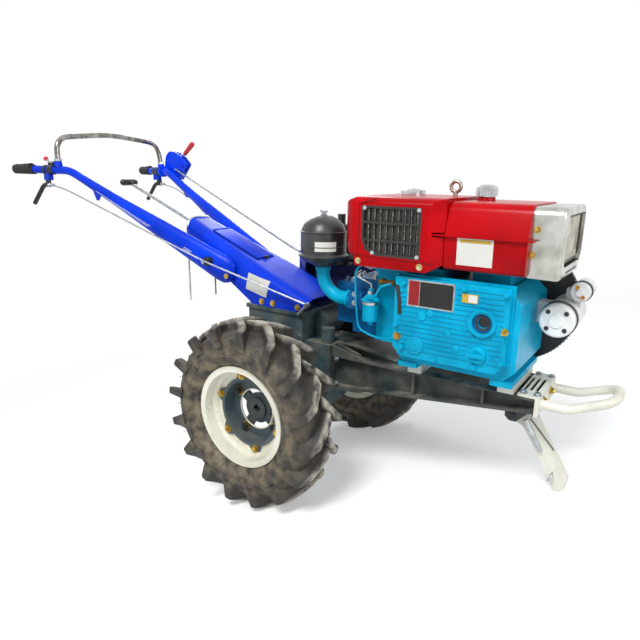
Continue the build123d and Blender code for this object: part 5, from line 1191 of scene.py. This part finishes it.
for side, name in ((1, "left"), (-1, "right")):
    run = (BEND - ROOT).normalized()
    trunk_end = BEND - run * 75.0
    reach = (trunk_end - ROOT).length
    stations = [(ROOT + run * reach * share, tall, wide) for share, tall, wide in TAPER]
    stations += [(point, TUBE_R, TUBE_R) for point in rounded_path((trunk_end, BEND, END), 40, 8)]
    tube = bmesh.new()
    tapered(tube, [(Vector((p.x, side * p.y, p.z)), tall, wide) for p, tall, wide in stations])
    handle = finished(f"pressed_handle_{name}", tube, blue_enamel, slot="handle_blue",
                      instead_of=(f"handle_{name}",))
    skin = surface_of(handle)
    out = Vector((0.18, side * 0.98, 0)).normalized()
    lines = bmesh.new()
    for start, end, drop in ((0.44, 0.80, 8), (0.46, 0.76, 15), (0.18, 0.225, 2), (0.19, 0.235, 10)):
        low, high = [on_handle(share, side) + out * 80 - Vector((0, 0, drop)) for share in (start, end)]
        rise = Vector((0, 0, 1.3))
        laid(lines, skin, (low - rise, high - rise, high + rise, low + rise), -out, 0.5, 12, 2)
    finished(f"pinstripe_{name}", lines, pinstripe)
    grooves = bmesh.new()
    way = (on_grip(0, side) - on_grip(100, side)).normalized()
    bar(grooves, (on_grip(98, side), on_grip(2, side)), GRIP_R, 28)
    for back in [14 + k * 8 for k in range(11)]:
        turned(grooves, on_grip(back, side), way, ((-2.2, 18.9), (-1.2, RIB_R), (1.2, RIB_R), (2.2, 18.9)),
               28, ring=True)
    turned(grooves, on_grip(7, side), way, ((0, 19.0), (3, 20.5), (7, 20.0), (9, 16.0), (9.5, 6.0)), 28)
    finished(f"grip_rings_{name}", grooves, grip_rubber, slot="rubber_black")
    tab = on_handle(0.80, side)
    flange = bmesh.new()
    plate(flange, [tab + Vector((x, side * 10, z)) for x, z in ((-30, 2), (28, -22), (8, -46), (-6, -44))],
          (0, 3, 0))
    finished(f"handle_tab_{name}", flange, blue_enamel, slot="handle_blue")
    foot = on_grip(ARCH_BACK, side)
    lean = Vector((-13, side * -9, 145)).normalized()
    collar = bmesh.new()
    turned(collar, foot + lean * 14.5, lean, ((0, 17.5), (16, 15.5), (20, 14.5), (20, 11.3), (0, 11.3)), 28,
           ring=True)
    finished(f"arch_collar_{name}", collar, blue_enamel, slot="handle_blue")
    nut = bmesh.new()
    turned(nut, foot + lean * 35, lean, ((0, 15.5), (9, 15.5), (9, 11.2), (0, 11.2)), 6, ring=True)
    finished(f"arch_nut_{name}", nut, zinc, slot="zinc")
    ears = bmesh.new()
    for x, z in ((26, -18), (-34, 4)):
        turned(ears, on_handle(0.0, side) + Vector((x, side * 22, z)), (0, side, 0),
               ((0, 11), (5, 11), (6, 9)), 6)
    finished(f"handle_root_bolts_{name}", ears, yellow_zinc, slot="zinc")

# Levers and rods
# Squeeze levers of bent bar with a black plastic coat, plated control levers with moulded knobs, and zinc
# rods that run down to the gearbox.
knob_red, knob_shader = new_material("moulded_red_knob", Roughness=0.22, Coat_Weight=0.4,
                                     Coat_Roughness=0.05)
wire(knob_red, mottled(knob_red, "#c40a16", "#ab0812", 30), knob_shader, "Base Color")
knob_black, black_shader = new_material("moulded_black_knob", Roughness=0.25, Specular_IOR_Level=0.5)
wire(knob_black, mottled(knob_black, "#1a1a1b", "#101011", 30), black_shader, "Base Color")
levers, rods, brackets = bmesh.new(), bmesh.new(), bmesh.new()
BRACKET_BACK = 170
THROTTLE_BACK = 189
QUADRANT_BACK = 242
ROD_R = 3.2
ROD_ENDS = {-1: Vector((61, -126, 325)), 1: Vector((-140, 130, 370))}
TIE_END = Vector((-203, 124, 483))
top = on_grip(BRACKET_BACK, 1)
for side in (-1, 1):
    clevis = Vector((top.x + 15, side * (top.y + 8), top.z - 61))
    brick(brackets, (top.x - 20, side * (top.y + 1.5) - 10.5, top.z - 42),
          (top.x + 16, side * (top.y + 1.5) + 10.5, top.z))
    brick(levers, (top.x - 12, clevis.y - 3, clevis.z - 8), (clevis.x + 4, clevis.y + 3, top.z - 38))
    bends = (clevis, (top.x - 27, side * (top.y + 10), clevis.z + 1),
             (top.x - 104, side * (top.y + 17), top.z - 140))
    bar(levers, rounded_path(bends, 30), 9.0, 18)
    end = ROD_ENDS[side]
    bends = (clevis + Vector((8, 0, 0)), (-1040, side * 288, 684), (-371, side * 180, 440), end)
    bar(rods, rounded_path(bends, 60), ROD_R)
    turned(rods, end - Vector((0, 8, 0)), (0, 1, 0), ((0, 8.0), (16, 8.0)), 20)
    brick(rods, (clevis.x - 2, clevis.y - 6, clevis.z - 6), (clevis.x + 26, clevis.y + 6, clevis.z + 6))
bar(rods, ((24, -126, 285), ROD_ENDS[-1]), 6.0)
plate(rods, ((-150, 118, 336), (-122, 118, 336), (-122, 118, 470), (-150, 118, 470)), (0, 3, 0))
bar(rods, ((-136, 124, 458), TIE_END), 5.0)
quadrant = on_grip(QUADRANT_BACK, 1)
tie_start = quadrant + Vector((70, 17, 10))
bar(rods, (tie_start, TIE_END), 4.0)
turned(rods, tie_start - Vector((0, 5, 0)), (0, 1, 0), ((0, 6.0), (14, 6.0)), 18)
ROLLER = Vector((-371, 146, 438))
for side in (-1, 1):
    turned(levers, (ROLLER.x, side * ROLLER.y, ROLLER.z), (0, side, 0),
           ((0, 16.0), (26, 16.0), (28, 13.0)), 24)
    turned(rods, (ROLLER.x, side * (ROLLER.y + 28), ROLLER.z), (0, side, 0), ((0, 8.0), (14, 8.0)), 6)
finished("lever_brackets", brackets, blue_enamel, slot="handle_blue")
finished("squeeze_levers", levers, grip_rubber, slot="rubber_black", instead_of=("steering_levers",))
finished("plated_rods", rods, zinc, slot="zinc", instead_of=("control_rods",))
foot, crown = on_grip(ARCH_BACK, 1), bmesh.new()
corners = [(foot.x - 13, side * (foot.y - 9), 890) for side in (1, -1)]
bends = (foot, corners[0], (foot.x - 13, 0, 915), corners[1], (foot.x, -foot.y, foot.z))
bar(crown, rounded_path(bends, 76, 12), 11.0, 24)
# Its dark chrome is painted dark reflection.
finished("chromed_arch", crown, reflection_darkened_chrome, slot="chrome", instead_of=("push_arch",))
cheek = [(quadrant.x + x, quadrant.z + z, r) for x, z, r in (
    (-14, -14, 6), (-12, 40, 20), (-2, 76, 20), (24, 96, 22), (62, 92, 24), (104, 70, 20), (140, 34, 8),
    (78, -38, 8), (30, -30, 14))]
gap = block(quadrant + Vector((-20, 33, 0)), quadrant + Vector((150, 45, 120)))
box = carved(prism(softened(cheek), "Y", quadrant.y + 22, quadrant.y + 56), [("DIFFERENCE", gap)])
finished("quadrant_box", box, blue_enamel, slot="handle_blue", instead_of=("clutch_quadrant",))
band = bmesh.new()
turned(band, on_grip(244, 1), on_grip(0, 1) - on_grip(244, 1), ((0, 26.0), (7, 26.0)), 36)
finished("quadrant_band", band, blue_enamel, slot="handle_blue")
stalk = bmesh.new()
bar(stalk, (quadrant + Vector((30, 39, 20)), quadrant + Vector((116, 39, 84))), 4.5)
finished("clutch_stalk", stalk, zinc, slot="zinc", instead_of=("clutch_lever",))
arm = bmesh.new()
throttle = on_grip(THROTTLE_BACK, -1)
turned(arm, throttle, UP, ((0, 13.0), (34, 13.0)), 28)
bar(arm, (throttle + Vector((0, 0, 26)), throttle + Vector((-36, 0, 45))), 4.0)
finished("throttle_arm", arm, zinc, slot="zinc", instead_of=("throttle_lever",))
gear_rod = bmesh.new()
GEAR_KNOB = Vector((-1010, 0, 711))
bar(gear_rod, ((-566, 0, 540), GEAR_KNOB), 7.0, 20)
finished("gear_rod", gear_rod, zinc, slot="zinc", instead_of=("shift_lever",))
knobs = bmesh.new()
bar(knobs, (GEAR_KNOB - Vector((0, 30, 0)), GEAR_KNOB + Vector((0, 30, 0))), 13.8, 20)
for side in (-1, 1):
    turned(knobs, GEAR_KNOB + Vector((0, side * 29, 0)), (0, side, 0), (
        (0, 13.8), (6, 13.0), (11, 10.0), (14.6, 4.5), (15, 1.0)), 20)
turned(knobs, GEAR_KNOB + Vector((7, 0, -3)), (0.9, 0, -0.15), ((0, 9.5), (20, 8.0), (24, 7.4)), 18)
finished("gear_knob", knobs, knob_black)
lever_knob = bmesh.new()
turned(lever_knob, quadrant + Vector((112, 39, 81)), Vector((63, 0, 52)), (
    (0, 8.0), (8, 10.4), (60, 12.0), (74, 11.5), (80, 8.5), (82, 3.0)), 22)
finished("clutch_knob", lever_knob, knob_red)
ball = bmesh.new()
turned(ball, throttle + Vector((-36, 0, 36)), UP, (
    (0, 3.0), (1.5, 7.0), (6, 10.0), (10, 10.4), (15, 8.5), (18, 4.5), (18.6, 1.0)), 20)
finished("throttle_knob", ball, knob_red)
throttle_cap = bmesh.new()
turned(throttle_cap, throttle + Vector((0, 0, 17)), UP,
       ((0, 14.5), (10, 14.5), (15, 12.0), (17.6, 7.0), (18, 2.0)), 26)
finished("throttle_cap", throttle_cap, knob_black)
bands = bmesh.new()
for side, back, wide in ((-1, 189, 26), (1, 187, 22), (-1, 158, 12), (1, 158, 12)):
    middle = on_grip(back + wide / 2, side)
    turned(bands, middle, on_grip(0, side) - middle,
           ((0, 16.1), (0, 19.5), (wide, 19.5), (wide, 16.1)), 28, ring=True)
finished("lever_bands", bands, black_paint)
fastened("quadrant_screws", [quadrant + Vector((x, 55.8, z)) for x, z in (
    (6, 4), (30, 20), (84, -14), (112, 30))], (0, 1, 0), zinc, (6.0, 5.0), (9.0, 1.5), slot="zinc")
fastened("quadrant_rivets", [quadrant + Vector((x, 21.9, z)) for x, z in (
    (30, 20), (84, -14), (112, 30))], RIGHT, blue_enamel, (6.0, 4.0), (9.0, 1.5), slot="handle_blue")
fastened("clevis_pins", [(top.x + 15, side * (top.y + 14), top.z - 61) for side in (-1, 1)],
         [(0, side, 0) for side in (-1, 1)], zinc, (5.5, 4.0), (8.0, 1.2), slot="zinc")

# Floor and light
# A wide pale floor under a white sky. One large soft lamp stands right of the front, with weaker ones at the
# front and behind. The floor runs out to white with distance.
floor_material = bpy.data.materials.new("pale_floor")
floor_material.use_nodes = True
floor_material.node_tree.nodes.clear()
FLOOR_GLOW = 0.30
FADE_FROM, FADE_TO = 1.6, 4.5
rays = add_node(floor_material, "ShaderNodeLightPath").outputs
shown = add_node(floor_material, "ShaderNodeMath", {
    0: rays["Is Camera Ray"], 1: rays["Is Glossy Ray"]}, operation="MAXIMUM").outputs[0]
floor_place = add_node(floor_material, "ShaderNodeTexCoord").outputs["Object"]
reach = add_node(floor_material, "ShaderNodeVectorMath", {0: floor_place},
                 operation="LENGTH").outputs["Value"]
far = add_node(floor_material, "ShaderNodeMapRange", {
    "Value": reach, "From Min": FADE_FROM, "From Max": FADE_TO},
    interpolation_type="SMOOTHSTEP").outputs["Result"]
ground = add_node(floor_material, "ShaderNodeBsdfDiffuse", {"Color": (0.80, 0.80, 0.80, 1)})
glow = add_node(floor_material, "ShaderNodeEmission", {
    "Strength": add_node(floor_material, "ShaderNodeMath", {0: shown, 1: FLOOR_GLOW},
                         operation="MULTIPLY").outputs[0]})
near = add_node(floor_material, "ShaderNodeAddShader", {0: ground.outputs[0], 1: glow.outputs[0]})
white = add_node(floor_material, "ShaderNodeEmission", {"Strength": 1.0})
fade = add_node(floor_material, "ShaderNodeMath", {0: far, 1: shown}, operation="MULTIPLY").outputs[0]
faded = add_node(floor_material, "ShaderNodeMixShader", {0: fade, 1: near.outputs[0], 2: white.outputs[0]})
add_node(floor_material, "ShaderNodeOutputMaterial", {"Surface": faded.outputs[0]})
floor_mesh = bpy.data.meshes.new("floor")
floor_mesh.from_pydata([(-30, -30, 0), (30, -30, 0), (30, 60, 0), (-30, 60, 0)], [], [(0, 1, 2, 3)])
floor_mesh.materials.append(floor_material)
floor = bpy.data.objects.new("floor", floor_mesh)
bpy.context.scene.collection.objects.link(floor)

world = bpy.data.worlds.new("studio")
bpy.context.scene.world = world
world.use_nodes = True
world.node_tree.nodes.clear()
AMBIENT = 0.42
world_rays = add_node(world, "ShaderNodeLightPath").outputs
backdrop = add_node(world, "ShaderNodeBackground", {"Color": (1, 1, 1, 1), "Strength": 1.0})
ambient = add_node(world, "ShaderNodeBackground", {"Color": (0.94, 0.97, 1.0, 1), "Strength": AMBIENT})
seen = add_node(world, "ShaderNodeMath", {
    0: world_rays["Is Camera Ray"], 1: world_rays["Is Glossy Ray"]}, operation="MAXIMUM").outputs[0]
seen = add_node(world, "ShaderNodeMath", {
    0: seen, 1: world_rays["Is Transmission Ray"]}, operation="MAXIMUM").outputs[0]
sky = add_node(world, "ShaderNodeMixShader", {
    0: seen, 1: ambient.outputs[0], 2: backdrop.outputs[0]})
add_node(world, "ShaderNodeOutputWorld", {"Surface": sky.outputs[0]})


def soft_lamp(name, place, aim, size, power):
    """A square soft lamp that faces a point."""
    lamp = bpy.data.lights.new(name, "AREA")
    lamp.shape, lamp.size, lamp.energy = "SQUARE", size, power
    holder = bpy.data.objects.new(name, lamp)
    holder.location = place
    holder.rotation_euler = (Vector(place) - Vector(aim)).to_track_quat("Z", "Y").to_euler()
    bpy.context.scene.collection.objects.link(holder)


soft_lamp("key_lamp", (1.2, -3.0, 4.2), (0, 0, 0.4), 1.6, 190)
soft_lamp("fill_lamp", (3.6, -1.0, 1.6), (0, 0, 0.5), 2.0, 40)
soft_lamp("back_lamp", (-2.2, 3.0, 3.0), (0, 0, 0.6), 2.0, 60)

# Camera
# It stands at the photograph's place, right of the machine's front and a little above its wheels. The
# picture was turned level, so the camera is rolled.
camera_data = bpy.data.cameras.new("camera")
camera_data.lens, camera_data.sensor_width = 30.8265, 36.0
camera = bpy.data.objects.new("camera", camera_data)
camera.location = (1.29503, -1.61156, 0.82608)
camera.rotation_euler = [math.radians(a) for a in (81.758463, 9.075843, 34.670504)]
bpy.context.scene.collection.objects.link(camera)
bpy.context.scene.camera = camera
bpy.context.scene.view_settings.view_transform = "Standard"
